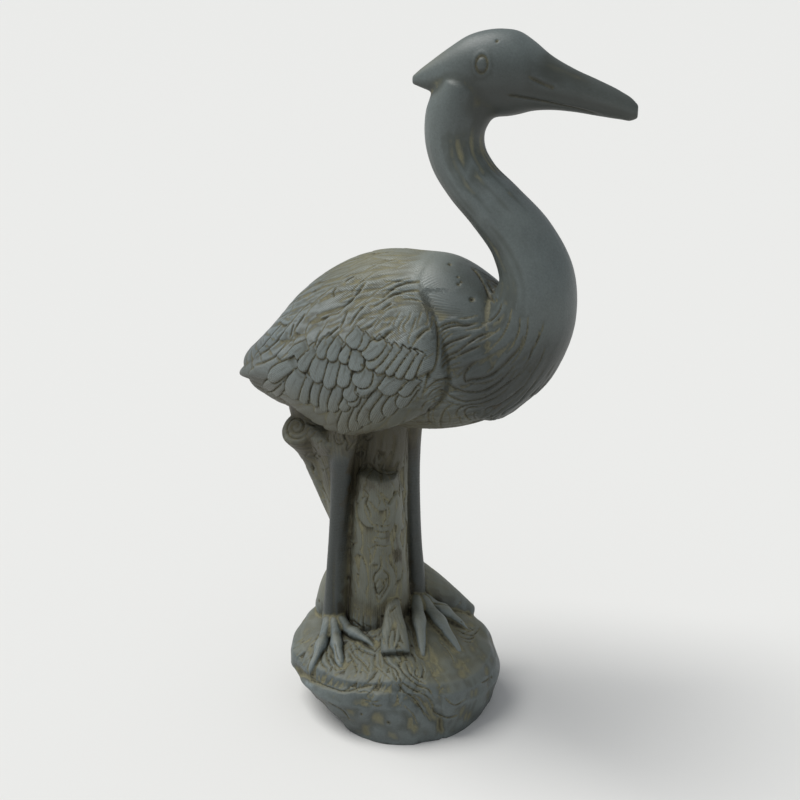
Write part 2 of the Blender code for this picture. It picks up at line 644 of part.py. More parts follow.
def spine_places(points, route):
    """For each point, how far along a route in the XZ plane it lies, and its angle round it."""
    route = np.asarray(route)
    run = np.concatenate([[0.0], np.cumsum(np.linalg.norm(np.diff(route, axis=0), axis=1))])
    at = np.linspace(0.0, run[-1], 60)
    line = smooth_curve(run, route, at)
    ahead = np.gradient(line, at, axis=0)
    ahead /= np.linalg.norm(ahead, axis=1)[:, None]
    near = np.zeros(len(points), int)
    best = np.full(len(points), np.inf)
    for k, spot in enumerate(line):
        distance = (points[:, 0] - spot[0]) ** 2 + (points[:, 2] - spot[2]) ** 2
        closer = distance < best
        best[closer] = distance[closer]
        near[closer] = k
    offset = points - line[near]
    direction = ahead[near]
    along = at[near] + np.sum(offset * direction, axis=1)
    outward = np.stack([direction[:, 2], np.zeros(len(points)), -direction[:, 0]], axis=1)
    angle = np.arctan2(np.abs(points[:, 1]), np.sum(offset * outward, axis=1))
    return along, angle, np.sqrt(best)


def crease_place(level):
    """Where the front edge of a wing lies along X, for a height as a share of the body's depth."""
    above = np.clip((level - 0.45) / 0.45, 0, 1)
    below = np.clip((0.45 - level) / 0.45, 0, 1)
    bend = WING_TIP_X * BODY_LENGTH + WING_LENGTH
    return bend - WING_LENGTH * (0.17 * above**2 + 0.45 * below**2)


def carve_body(points):
    """Plumes over the back, scallops and long feathers on the wings, small locks at the bend."""
    x, y, z = points.T
    level = (z - BELLY_Z) / BODY_DEPTH
    fade = EDGE_FADE * (1 + 5 * ramp(level, 0.55, 0.75))
    behind = (ramp(crease_place(level) - x, -fade, fade)
              * ramp(z, BELLY_Z - 2 * EDGE_FADE, BELLY_Z + EDGE_FADE))
    total = np.zeros(len(points))
    here = behind > 0
    x, y, z, level = x[here], y[here], z[here], level[here]
    p = WING_TIP_X * BODY_LENGTH + WING_LENGTH - x
    round_radius = 0.46 * BODY_DEPTH
    q = np.arctan2(np.abs(y), z - BODY_AXIS_Z) * round_radius
    share = np.clip(p / WING_LENGTH, 0, 1.1)
    top = round_radius * (1.22 - 0.10 * share)
    lesser = ((1 - ramp(p - 1.1 * (q - top), 0.95 * FEATHER_LENGTH, 1.40 * FEATHER_LENGTH))
              * (1 - ramp(q - top, 0.47 * FEATHER_LENGTH, 0.72 * FEATHER_LENGTH)))
    scallops = ramp(q - top, -EDGE_FADE, EDGE_FADE) * (1 - lesser)
    long_rows = ramp(q, round_radius * (2.02 - 0.10 * share), round_radius * (2.10 - 0.10 * share))
    side_seed = np.where(y > 0, 5.0, 0.0)

    def heading(p0, q0):
        return np.radians(56 - 40 * np.clip(p0 / WING_LENGTH, 0, 1.1))

    def plume_heading(p0, q0):
        return np.radians(4 + 34 * np.clip(q0 / (1.3 * round_radius), 0, 1))

    feathers = blades(p, q, (FEATHER_WIDTH * 0.88, FEATHER_LENGTH * 0.58), FEATHER_LENGTH,
                      FEATHER_WIDTH, heading, side_seed + 11, tip=1.0, spread=0.35)
    flights = blades(p, q, (FEATHER_WIDTH * 0.62, FEATHER_LENGTH * 0.85), FEATHER_LENGTH * 1.5,
                     FEATHER_WIDTH * 0.80, heading, side_seed + 12, tip=0.85, spread=0.3)
    plumes = blades(p, q, (PLUME_LENGTH * 0.26, PLUME_WIDTH * 0.80), PLUME_LENGTH, PLUME_WIDTH,
                    plume_heading, side_seed + 13, tip=0.3, bend=0.6, spread=0.5, rise=0.6)
    small = blades(p, q, (LOCK_LENGTH * 0.16, LOCK_WIDTH * 0.50), LOCK_LENGTH * 0.42,
                   LOCK_WIDTH * 0.55, heading, side_seed + 14, tip=0.3, bend=0.5, rise=0.5)
    bare_back = ramp(p + 0.35 * q, 0.17 * WING_LENGTH, 0.42 * WING_LENGTH)
    winged = feathers * (1 - long_rows) + flights * long_rows
    carved = (winged * FEATHER_LIFT * scallops
              + plumes * PLUME_LIFT * (1 - scallops) * (1 - lesser) * bare_back
              + (0.8 * FEATHER_LIFT * ramp(p + 0.8 * (q - top), -0.4 * FEATHER_LENGTH, FEATHER_LENGTH)
                 + small * 0.4 * LOCK_LIFT)
              * lesser * ramp(q - top, -0.95 * FEATHER_LENGTH, -0.30 * FEATHER_LENGTH))
    total[here] = carved * behind[here]
    return total


def breast_route():
    """The line that the breast's locks follow: down the neck, round the breast and back."""
    low = [NECK_ROOT + NECK_HEIGHT * np.array(s) for s in ((-0.10, 0.0, -0.12), (-0.34, 0.0, -0.27),
                                                         (-0.62, 0.0, -0.33))]
    return neck_points()[:0:-1] + low


def carve_breast(points):
    """Locks that leave the neck and sweep back and down towards the wings."""
    along, angle, _ = spine_places(points, breast_route())
    x, y, z = points.T
    ahead = (ramp(x - crease_place((z - BELLY_Z) / BODY_DEPTH), 0.0, 2 * EDGE_FADE)
             * ramp(z, BELLY_Z - 0.13 * BODY_DEPTH, BELLY_Z))
    rear = ramp(angle, math.radians(38), math.radians(75)) * ramp(along, 0.95 * NECK_HEIGHT,
                                                                  1.35 * NECK_HEIGHT)
    under = ramp(along, 1.20 * NECK_HEIGHT, 1.50 * NECK_HEIGHT)
    grown = np.maximum(rear, under) * ahead
    here = grown > 0
    total = np.zeros(len(points))

    def heading(p0, q0):
        return np.radians(-38 + 26 * np.clip(q0 / (math.pi * BREAST_WIDTH / 2), 0, 1))

    q = angle * BREAST_WIDTH / 2
    seed = np.where(y > 0, 36.0, 31.0)
    locks = blades(along[here], q[here], (LOCK_LENGTH * 0.34, LOCK_WIDTH * 0.85), LOCK_LENGTH,
                   LOCK_WIDTH, heading, seed[here], tip=0.25, bend=0.7, spread=0.5, rise=0.6)
    total[here] = locks * LOCK_LIFT * grown[here]
    return total


def carve_trunk(points):
    """Long cracks in the bark of the trunk and its branch, between the mound and the belly."""
    x, y, z = points.T
    around = np.arctan2(y, x - HIP_X) * TRUNK_DIAMETER / 2
    level = (z - ANKLE_Z) / LEG_LENGTH
    woody = ramp(level, 0.08, 0.20) * (1 - ramp(level, 0.88, 1.0))
    for side in (-1, 1):
        foot = ankle(side)
        lean = LEG_LENGTH * np.interp(level, LEG_LEVELS, LEG_LEAN[side])
        reach = np.hypot(x - foot[0] - lean, y - foot[1])
        woody = woody * ramp(reach, LEG_DIAMETER * 0.60, LEG_DIAMETER * 0.90)
    here = woody > 0
    total = np.zeros(len(points))

    def upright(p0, q0):
        return 0 * p0

    plates = blades(z[here], around[here], (BARK_PLATE_LENGTH * 0.6, BARK_PLATE_WIDTH),
                    BARK_PLATE_LENGTH, BARK_PLATE_WIDTH, upright, 7.0, tip=0.25, bend=1.2,
                    spread=0.6, rise=0.3)
    total[here] = plates * BARK_DEPTH * woody[here]
    return total


def off_the_toes(points):
    """0 on the toes and 1 away from them, by the distance in plan to each toe's middle line."""
    away = np.ones(len(points))
    for side, line in toe_lines():
        radius = TOE_DIAMETER / 2 * TOE_THICKNESS[side]
        for (x0, y0, _), (x1, y1, _) in zip(line[:-1], line[1:]):
            along = np.array([x1 - x0, y1 - y0])
            share = ((points[:, 0] - x0) * along[0] + (points[:, 1] - y0) * along[1]) / (along @ along)
            share = np.clip(share, 0, 1)
            gap = np.hypot(points[:, 0] - x0 - share * along[0], points[:, 1] - y0 - share * along[1])
            away = away * ramp(gap, 0.95 * radius, 1.25 * radius)
    return away


# The groove over the mound's front lobe: angle from +X and height as a share of the wall's
LOBE_GROOVE = ((-150.0, 0.62), (-122.0, 0.80), (-98.0, 0.93), (-76.0, 1.08), (-58.0, 1.02),
               (-45.0, 0.72), (-36.0, 0.34), (-32.0, 0.0))
LOBE_GROOVE_DEPTH = 0.0050
LOBE_GROOVE_WIDTH = 0.0075
MOUND_LUMPS = 0.0018


def carve_mound(points):
    """A groove over the front lobe, and grass-like grooves that run down from between the toes."""
    x, y, z = points.T
    angle = np.arctan2(y, x)
    reach = np.hypot(x, y)
    table = np.radians([a for a, _ in LOBE_GROOVE])
    line = np.interp(angle, table, [h * MOUND_WALL_HEIGHT for _, h in LOBE_GROOVE])
    steep = np.interp(angle, table[[3, 5, 6]], [1.0, 0.55, 0.35])
    on_wall = ramp(reach, 0.55 * MOUND_DIAMETER / 2, 0.75 * MOUND_DIAMETER / 2)
    in_front = ramp(angle, table[0], table[1]) * (1 - ramp(angle, table[-2], table[-1]))
    offset = (z - line) * steep / LOBE_GROOVE_WIDTH
    total = -LOBE_GROOVE_DEPTH * np.exp(-offset**2) * on_wall * in_front
    waves = (np.sin(x * 71 + 1.3 + 2 * np.sin(y * 31)) * np.sin(y * 83 + 0.4) + 0.6 * np.sin(
        z * 120 + 3 * np.sin(angle * 2 + 1)) * np.sin(x * 140 + y * 60))
    total += MOUND_LUMPS * waves * (1 - ramp(z, MOUND_WALL_HEIGHT, ANKLE_Z))
    slope = reach + 0.7 * np.maximum(ANKLE_Z - z, 0.0)
    upper = ((1 - ramp(z, ANKLE_Z, ANKLE_Z + 0.25 * MOUND_WALL_HEIGHT))
             * ramp(z, 0.70 * MOUND_WALL_HEIGHT, 1.00 * MOUND_WALL_HEIGHT))
    in_grass = 1 - ramp(np.abs(angle + math.radians(92)), math.radians(42), math.radians(66))
    upper = upper * off_the_toes(points) * in_grass
    here = upper > 0

    def heading(p0, q0):
        return 0.35 * np.sin(p0 * 60 + q0 * 25)

    grass = blades(slope[here], angle[here] * MOUND_DIAMETER / 3.2, (GRASS_LENGTH * 0.42, GRASS_WIDTH),
                   GRASS_LENGTH, GRASS_WIDTH * 1.2, heading, 3.0, tip=0.1, bend=0.9, rise=0.4)
    total[here] += grass * GRASS_LIFT * upper[here]
    return total


def head_places(points):
    """Places along, out from and above the head's own axis, whichever way the head is turned."""
    heading = math.radians(HEAD_TURN)
    offset = points - HEAD_ORIGIN
    along = offset[:, 0] * math.cos(heading) + offset[:, 1] * math.sin(heading)
    out = offset[:, 1] * math.cos(heading) - offset[:, 0] * math.sin(heading)
    return along, out, offset[:, 2]


# The eye's middle, the mouth's two ends and the nostril's two ends, along the skull's length and up
# over the head's origin in its depth; the mouth's far end lies along the beak instead
EYE_PLACE = (0.226, 0.576)
EYE_SHAPE = (0.80, 1.08)
MOUTH_START = (0.438, 0.225)
MOUTH_END = (0.74, -0.035)
NOSTRIL = ((0.600, 0.452), (0.800, 0.318))


def carve_head(points):
    """Low oval eyes, each in a lid, the line of the mouth, and a slit nostril on each side."""
    along, out, up = head_places(points)
    aside = np.abs(out) > 0.05 * SKULL_WIDTH
    reach = np.hypot((along - EYE_PLACE[0] * SKULL_LENGTH) / (EYE_DIAMETER / 2 * EYE_SHAPE[0]),
                     (up - EYE_PLACE[1] * SKULL_DEPTH) / (EYE_DIAMETER / 2 * EYE_SHAPE[1]))
    ball = 0.095 * EYE_DIAMETER * np.sqrt(np.clip(1 - reach**2, 0, 1))
    lid = 0.055 * EYE_DIAMETER * np.exp(-((reach - 1.60) / 0.30) ** 2)
    groove = -0.075 * EYE_DIAMETER * np.exp(-((reach - 1.12) / 0.26) ** 2)
    total = np.where((np.abs(out) > 0.25 * SKULL_WIDTH) & (reach < 3), ball + lid + groove, 0.0)
    root = MOUTH_START[0] * SKULL_LENGTH
    tip = SKULL_STATIONS[-1][0] * SKULL_LENGTH + MOUTH_END[0] * BEAK_LENGTH
    share = (along - root) / (tip - root)
    drop = (MOUTH_START[1] - MOUTH_END[1]) * np.clip(share, 0, 1) ** 1.25
    mouth = SKULL_DEPTH * (MOUTH_START[1] - drop)
    inside = ramp(share, 0.0, 0.04) * (1 - ramp(share, 0.80, 1.0)) * aside
    total -= MOUTH_DEPTH * np.exp(-((up - mouth) / MOUTH_WIDTH) ** 2) * inside
    ends = [np.array([a * SKULL_LENGTH, u * SKULL_DEPTH]) for a, u in NOSTRIL]
    run = ends[1] - ends[0]
    offset = np.stack([along, up], axis=1) - ends[0]
    share = np.clip(offset @ run / (run @ run), 0, 1)
    gap = np.linalg.norm(offset - share[:, None] * run, axis=1)
    total -= NOSTRIL_DEPTH * np.exp(-(gap / NOSTRIL_WIDTH) ** 2) * aside * ramp(share, 0.0, 0.4)
    return total


def carve(obj):
    points = points_of(obj)
    normals = normals_of(obj)
    depth = (carve_body(points) + carve_breast(points) + carve_trunk(points) + carve_mound(points)
             + carve_head(points))
    set_points(obj, points + normals * depth[:, None])


def thin_out(obj, faces):
    """Fewer faces, with the most kept where the surface bends most."""
    modifier = obj.modifiers.new("Thin", "DECIMATE")
    modifier.ratio = min(1.0, faces / (2.0 * len(obj.data.polygons)))
    bpy.ops.object.modifier_apply(modifier=modifier.name)


def cut_flat(obj):
    """The flat underside: what lies below the ground is cut off and the cut is closed."""
    bm = bmesh.new()
    bm.from_mesh(obj.data)
    geometry = bm.verts[:] + bm.edges[:] + bm.faces[:]
    bmesh.ops.bisect_plane(bm, geom=geometry, dist=1e-5, plane_co=(0, 0, 0), plane_no=(0, 0, 1),
                           clear_inner=True)
    rim = [edge for edge in bm.edges if edge.is_boundary]
    bmesh.ops.contextual_create(bm, geom=rim)
    bmesh.ops.triangulate(bm, faces=bm.faces[:])
    bmesh.ops.recalc_face_normals(bm, faces=bm.faces[:])
    bm.to_mesh(obj.data)
    bm.free()


def cast_stone():
    material = bpy.data.materials.new("cast_stone")
    material.use_nodes = True
    shader = material.node_tree.nodes["Principled BSDF"]
    shader.inputs["Base Color"].default_value = STONE_COLOUR
    shader.inputs["Roughness"].default_value = STONE_ROUGHNESS
    shader.inputs["Metallic"].default_value = STONE_METALLIC
    return material


def make_statue():
    pieces = (make_mound() + make_trunk() + make_branch() + make_webs() + make_legs()
              + make_feet() + make_body() + make_wings() + make_neck() + make_head())
    statue = fuse(pieces, GRID)
    statue.name = "heron_statue"
    statue.data.name = "heron_statue"
    edges = edges_of(statue)
    set_points(statue, even_out(points_of(statue), edges, rounds=4))
    set_points(statue, soften_joins(points_of(statue), normals_of(statue), edges, GRID))
    carve(statue)
    thin_out(statue, MOST_FACES)
    cut_flat(statue)
    statue.data.materials.clear()
    statue.data.materials.append(cast_stone())
    statue.data.shade_smooth()
    return statue


for old in list(bpy.data.objects):
    bpy.data.objects.remove(old)
make_statue()
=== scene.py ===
"""Looks of the garden statue: a heron of cast stone on a rock mound against a tree trunk.

The form repeats the solid's own sizes and rules on a finer grid, with the fine carving on top.
Lengths are in metres. +X is the way the bird looks, +Z is up, and the origin is under the mound.
"""
import math

import bmesh
import bpy
import numpy as np
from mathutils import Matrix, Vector
from mathutils.bvhtree import BVHTree
from mathutils.kdtree import KDTree


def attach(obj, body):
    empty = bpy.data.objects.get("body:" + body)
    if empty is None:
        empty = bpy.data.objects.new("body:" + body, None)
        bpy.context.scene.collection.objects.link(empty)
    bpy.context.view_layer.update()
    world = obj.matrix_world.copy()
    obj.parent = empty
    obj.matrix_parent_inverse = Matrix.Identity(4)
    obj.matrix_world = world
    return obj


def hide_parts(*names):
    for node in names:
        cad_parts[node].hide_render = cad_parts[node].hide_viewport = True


# Driving dimensions of the rock mound
MOUND_DIAMETER = 0.272
MOUND_WALL_HEIGHT = 0.074
MOUND_CROWN_HEIGHT = 0.044

# Driving dimensions of the tree trunk
TRUNK_DIAMETER = 0.078
TRUNK_STUB_DIAMETER = 0.048
TRUNK_STUB_LENGTH = 0.205
BRANCH_DIAMETER = 0.047
BRANCH_REACH = 0.104
WEB_SHARE = 0.50
NEAR_WEB_SET_BACK = 0.008
FAR_WEB_SET_BACK = 0.015
SLAB_WIDTH = 0.034
SLAB_THICKNESS = 0.026
BARK_DEPTH = 0.0014
BARK_PLATE_LENGTH = 0.052
BARK_PLATE_WIDTH = 0.016

# Driving dimensions of the legs and feet
LEG_LENGTH = 0.268
LEG_DIAMETER = 0.0235
LEG_SPACING = 0.090
STRIDE = 0.075
HIP_SET_BACK = 0.029
ANKLE_SET_BACK = 0.010
TOE_LENGTH = 0.081
TOE_DIAMETER = 0.0152

# Driving dimensions of the body and wings
BODY_LENGTH = 0.450
BODY_DEPTH = 0.232
BODY_WIDTH = 0.170
WING_LENGTH = 0.325
WING_DEPTH = 0.186
WING_SPAN = 0.196
WING_THICKNESS = 0.048

# Driving dimensions of the neck and head
NECK_HEIGHT = 0.285
NECK_DIAMETER = 0.069
BREAST_WIDTH = 0.122
SKULL_LENGTH = 0.136
SKULL_DEPTH = 0.0955
SKULL_WIDTH = 0.0645
BEAK_LENGTH = 0.119
HEAD_TURN = 18.0
EYE_DIAMETER = 0.0145
MOUTH_DEPTH = 0.0014
MOUTH_WIDTH = 0.0027
NOSTRIL_DEPTH = 0.0012
NOSTRIL_WIDTH = 0.0019

# Driving dimensions of the carving
FEATHER_LENGTH = 0.047
FEATHER_WIDTH = 0.0235
FEATHER_LIFT = 0.0062
PLUME_LENGTH = 0.105
PLUME_WIDTH = 0.0150
PLUME_LIFT = 0.0042
LOCK_LENGTH = 0.080
LOCK_WIDTH = 0.0150
LOCK_LIFT = 0.0046
GRASS_LENGTH = 0.050
GRASS_WIDTH = 0.010
GRASS_LIFT = 0.0020
EDGE_FADE = 0.005

# Fineness of the form: the grid of the solid, and the rounds that blend its joins
GRID = 0.0030
CUT_ALLOWANCE = 0.010
JOIN_ROUNDS = 14
FILL_ROUNDS = 70

# Levels and places worked out from the sizes above
ANKLE_Z = MOUND_WALL_HEIGHT + MOUND_CROWN_HEIGHT
BELLY_Z = ANKLE_Z + LEG_LENGTH
BODY_AXIS_Z = BELLY_Z + 0.47 * BODY_DEPTH
NECK_ROOT = np.array([0.346 * BODY_LENGTH, 0.0, BELLY_Z + 0.50 * BODY_DEPTH])
HEAD_ORIGIN = NECK_ROOT + NECK_HEIGHT * np.array([-0.270, 0.0, 0.998])
HIP_X = -HIP_SET_BACK


def smooth_curve(knots, values, at):
    """Values read at `at` from a smooth curve that passes through the knots."""
    knots = np.asarray(knots, float)
    values = np.asarray(values, float)
    at = np.asarray(at, float)
    slopes = np.gradient(values, knots, axis=0)
    i = np.clip(np.searchsorted(knots, at, side="right") - 1, 0, len(knots) - 2)
    gap = knots[i + 1] - knots[i]
    t = (at - knots[i]) / gap
    if values.ndim > 1:
        gap = gap[:, None]
        t = t[:, None]
    start = (2 * t**3 - 3 * t**2 + 1) * values[i] + (t**3 - 2 * t**2 + t) * gap * slopes[i]
    end = (3 * t**2 - 2 * t**3) * values[i + 1] + (t**3 - t**2) * gap * slopes[i + 1]
    return start + end


def ramp(value, low, high):
    """0 below low, 1 above high and a soft step between."""
    t = np.clip((value - low) / (high - low), 0.0, 1.0)
    return t * t * (3 - 2 * t)


def turn(count):
    return np.linspace(0.0, 2 * math.pi, count, endpoint=False)


def skin(name, rings):
    """A closed shell over a stack of rings, with a fan of faces over each end."""
    rings = np.asarray(rings)
    count, around = rings.shape[:2]
    points = list(rings.reshape(-1, 3)) + [rings[0].mean(0), rings[-1].mean(0)]
    faces = []
    for i in range(count - 1):
        for j in range(around):
            a = i * around + j
            b = i * around + (j + 1) % around
            faces.append((a, b, b + around, a + around))
    last = (count - 1) * around
    for j in range(around):
        k = (j + 1) % around
        faces.append((count * around, k, j))
        faces.append((count * around + 1, last + j, last + k))
    mesh = bpy.data.meshes.new(name)
    mesh.from_pydata([tuple(map(float, p)) for p in points], [], faces)
    bm = bmesh.new()
    bm.from_mesh(mesh)
    bmesh.ops.recalc_face_normals(bm, faces=bm.faces[:])
    bm.to_mesh(mesh)
    bm.free()
    obj = bpy.data.objects.new(name, mesh)
    bpy.context.scene.collection.objects.link(obj)
    return obj


def loft(name, origin, heading, stations, step=0.002, around=120):
    """A shell along a level axis. A station is (along, top, bottom, half width), from the origin."""
    stations = np.array(stations, float)
    s = np.arange(stations[0, 0], stations[-1, 0] + step / 2, step)
    top, bottom, half = (smooth_curve(stations[:, 0], stations[:, k], s) for k in (1, 2, 3))
    angle = turn(around)
    middle = (top + bottom) / 2
    up = middle[:, None] + ((top - bottom) / 2)[:, None] * np.sin(angle)
    side = np.maximum(half, 0.0008)[:, None] * np.cos(angle)
    along = np.repeat(s[:, None], around, axis=1)
    c, sn = math.cos(heading), math.sin(heading)
    rings = np.stack([along * c - side * sn, along * sn + side * c, up], axis=-1)
    return skin(name, rings + np.asarray(origin))


def tube(name, route, radii, side_radii=None, flat=(0, 1, 0), dome=0.4, step=0.002, around=48,
         squareness=0.0):
    """A round or oval bar along a smooth route, with domed ends. Squareness flattens its sides."""
    route = np.array(route, float)
    run = np.concatenate([[0.0], np.cumsum(np.linalg.norm(np.diff(route, axis=0), axis=1))])
    t = np.linspace(0.0, run[-1], max(4, int(run[-1] / step)))
    centre = smooth_curve(run, route, t)
    radius = smooth_curve(run, np.array(radii, float), t)
    side = radius if side_radii is None else smooth_curve(run, np.array(side_radii, float), t)
    ahead = np.gradient(centre, t, axis=0)
    ahead /= np.linalg.norm(ahead, axis=1)[:, None]
    across = np.array(flat, float) - (ahead @ np.array(flat, float))[:, None] * ahead
    across /= np.linalg.norm(across, axis=1)[:, None]
    up = np.cross(ahead, across)
    angle = turn(around)
    rise, swing = (np.sign(v) * np.abs(v) ** (1 - squareness) for v in (np.cos(angle), np.sin(angle)))
    spread = (rise[None, :, None] * (up * radius[:, None])[:, None]
              + swing[None, :, None] * (across * side[:, None])[:, None])
    rings = list(centre[:, None] + spread)
    for share in (0.35, 0.7, 0.92):
        size = math.sqrt(1 - share * share)
        rings.insert(0, centre[0] - ahead[0] * radius[0] * dome * share + spread[0] * size)
        rings.append(centre[-1] + ahead[-1] * radius[-1] * dome * share + spread[-1] * size)
    return skin(name, rings)


# Shape of the mound every 30 degrees round, counted from +X: radius of the wall, radius where it
# meets the ground, and height of the wall's top edge, as shares of the mound's own sizes
WALL_SHARES = (0.99, 1.00, 0.95, 0.90, 0.93, 0.97, 1.03, 1.08, 1.03, 1.00, 0.98, 0.98)
GROUND_SHARES = (0.92, 0.92, 0.86, 0.82, 0.82, 0.82, 0.74, 0.64, 0.68, 0.88, 0.97, 0.95)
EDGE_SHARES = (0.80, 0.88, 1.10, 1.25, 1.28, 1.36, 1.34, 1.10, 0.92, 0.98, 1.08, 0.90)


def round_shares(shares, angle):
    """A closed smooth curve through values that are evenly spaced round the mound."""
    count = len(shares)
    looped = [shares[k % count] for k in range(-2, count + 3)]
    knots = np.arange(-2, count + 3) * 2 * math.pi / count
    return smooth_curve(knots, looped, np.mod(angle, 2 * math.pi))


def mound_section(angle):
    """Rows of (radius, height) from the ground up to the crown, for each angle."""
    radius = MOUND_DIAMETER / 2
    wall = radius * round_shares(WALL_SHARES, angle)
    ground = radius * round_shares(GROUND_SHARES, angle)
    edge = MOUND_WALL_HEIGHT * round_shares(EDGE_SHARES, angle)
    crown = ANKLE_Z
    rows = [(ground, 0 * edge - CUT_ALLOWANCE), (ground, 0 * edge)]
    for share, height in ((0.36, 0.20), (0.73, 0.43), (1.0, 0.68)):
        rows.append((ground + (wall - ground) * share, edge * height))
    rows.append((wall * 0.97, edge * 0.93))
    for share, rise in ((0.90, 0.13), (0.80, 0.27), (0.65, 0.42), (0.48, 0.60), (0.30, 0.84), (0.12, 1.0)):
        rows.append((wall * share, edge + (crown - edge) * rise))
    return rows


def mound_height(x, y):
    """Height of the mound's upper surface over a point."""
    reach = math.hypot(x, y)
    rows = [(float(r[0]), float(z[0])) for r, z in mound_section(np.array([math.atan2(y, x)]))]
    upper = rows[:3:-1]
    return float(np.interp(reach, [r for r, z in upper], [z for r, z in upper]))


def make_mound():
    angle = turn(180)
    rings = []
    for radius, height in mound_section(angle):
        rings.append(np.stack([radius * np.cos(angle), radius * np.sin(angle), height], axis=1))
    return [skin("mound", rings)]


def on_mound(ahead, left, sunk):
    """A point over the mound, in shares of its radius, sunk below its surface by a length."""
    x, y = ahead * MOUND_DIAMETER / 2, left * MOUND_DIAMETER / 2
    return x, y, mound_height(x, y) - sunk


def make_trunk():
    """The trunk behind the legs, its cut stub in front, two roots and a slab of rock at its foot."""
    half = TRUNK_DIAMETER / 2
    stub = TRUNK_STUB_DIAMETER / 2
    radius = MOUND_DIAMETER / 2
    x = HIP_X - 0.13 * half
    foot = MOUND_WALL_HEIGHT * 0.5
    rise = BELLY_Z + 0.2 * BODY_DEPTH - foot
    trunk = tube("trunk", [(x - 0.05 * half, 0.26 * half, foot),
                           (x - 0.05 * half, 0.26 * half, foot + 0.3 * rise),
                           (x, 0.31 * half, foot + 0.6 * rise), (x, 0.36 * half, foot + rise)],
                 [1.45 * half, 1.02 * half, 0.88 * half, 0.9 * half], around=64)
    front = tube("front_stub", [(x + 0.08 * stub, -0.08 * stub, ANKLE_Z - 0.4 * MOUND_WALL_HEIGHT),
                                (x + 0.29 * stub, -0.36 * stub, ANKLE_Z + 0.45 * TRUNK_STUB_LENGTH),
                                (x + 0.54 * stub, -0.74 * stub, ANKLE_Z + 0.90 * TRUNK_STUB_LENGTH),
                                (x + 0.62 * stub, -0.82 * stub, ANKLE_Z + TRUNK_STUB_LENGTH)],
                 [1.85 * stub, 1.54 * stub, 1.20 * stub, 1.04 * stub], dome=0.20)
    root = tube("root", [(x + 0.06 * radius, 0.35 * radius, ANKLE_Z + 0.165 * LEG_LENGTH),
                         (x + 0.22 * radius, 0.57 * radius, ANKLE_Z + 0.015 * LEG_LENGTH),
                         on_mound(0.315, 0.786, 0.35 * half)],
                [0.55 * half, 0.70 * half, 0.55 * half])
    back_root = tube("back_root", [(x - 0.07 * radius, 0.0, ANKLE_Z + 0.22 * LEG_LENGTH),
                                   (x - 0.31 * radius, 0.0, ANKLE_Z + 0.08 * LEG_LENGTH),
                                   on_mound(-0.735, 0.0, 0.2 * half)],
                     [0.8 * half, 1.0 * half, 0.8 * half])
    thick, wide = SLAB_THICKNESS / 2, SLAB_WIDTH / 2
    slab = tube("slab", [(0.02 * radius, -0.15 * radius, ANKLE_Z + 0.36 * MOUND_WALL_HEIGHT),
                         (0.13 * radius, -0.32 * radius, ANKLE_Z + 0.03 * MOUND_WALL_HEIGHT),
                         on_mound(0.245, -0.495, 0.0)],
                [0.8 * thick, thick, 0.85 * thick], [0.5 * wide, 0.85 * wide, wide],
                flat=(0.866, 0.5, 0), dome=0.10, squareness=0.55)
    return [trunk, front, root, back_root, slab]


# Places along the branch: back from the trunk and to the right in shares of its reach, then up
# from the ankles as a share of the legs' length, and its radius in shares of its own
BRANCH_ROUTE = ((0.04, -0.06, 0.24, 1.15), (0.36, -0.02, 0.50, 1.20), (0.61, 0.02, 0.70, 1.15),
                (0.75, 0.16, 0.85, 1.05), (0.78, 0.46, 0.965, 1.00))


def branch_place(back, right, up):
    start = HIP_X - 0.31 * TRUNK_DIAMETER / 2
    return np.array([start - back * BRANCH_REACH, -right * BRANCH_REACH, ANKLE_Z + up * LEG_LENGTH])


def make_branch():
    """The cut branch under the tail, with webs of wood that tie it to the belly and nearer leg."""
    half = BRANCH_DIAMETER / 2
    branch = tube("branch", [branch_place(*place) for *place, _ in BRANCH_ROUTE],
                  [half * radius for *_, radius in BRANCH_ROUTE], dome=0.1)
    web = tube("web", [branch_place(0.10, -0.04, 0.50), branch_place(0.30, 0.0, 0.75),
                       branch_place(0.48, 0.04, 1.05)],
               [0.8 * half, 1.1 * half, 1.4 * half])
    collar = tube("collar", [branch_place(0.66, 0.04, 0.85), branch_place(0.80, 0.13, 1.04),
                             branch_place(0.70, 0.13, 1.26)],
                  [1.0 * half, 1.25 * half, 1.2 * half])
    route, thick, wide = [], [], []
    for *place, _ in BRANCH_ROUTE[1:]:
        wood = branch_place(*place)
        leg = leg_place(-1, place[2])
        route.append((wood + leg) / 2)
        thick.append(0.65 * half)
        wide.append(0.50 * math.dist(wood, leg))
    bark = tube("bark_web", route, thick, wide, flat=(0.85, -0.5, 0))
    return [branch, web, collar, bark]


# Half widths of the webs between the legs and the trunk, as shares of the legs' spacing
WEB_WIDTHS = {-1: 0.43, 1: 0.37}


def make_webs():
    """Stone between each leg and the trunk, set back from the front of both."""
    pieces = []
    half = TRUNK_DIAMETER / 2
    for side, set_back in ((-1, NEAR_WEB_SET_BACK), (1, FAR_WEB_SET_BACK)):
        route = []
        for level in LEG_LEVELS:
            leg = leg_place(side, level)
            core = np.array([HIP_X - 0.31 * half, 0.31 * half, leg[2]])
            route.append(leg * (1 - WEB_SHARE) + core * WEB_SHARE - np.array([set_back, 0.0, 0.0]))
        thick = 0.46 * LEG_DIAMETER
        wide = WEB_WIDTHS[side] * LEG_SPACING
        pieces.append(tube("leg_web", route, [thick] * len(route), [wide] * len(route)))
    return pieces


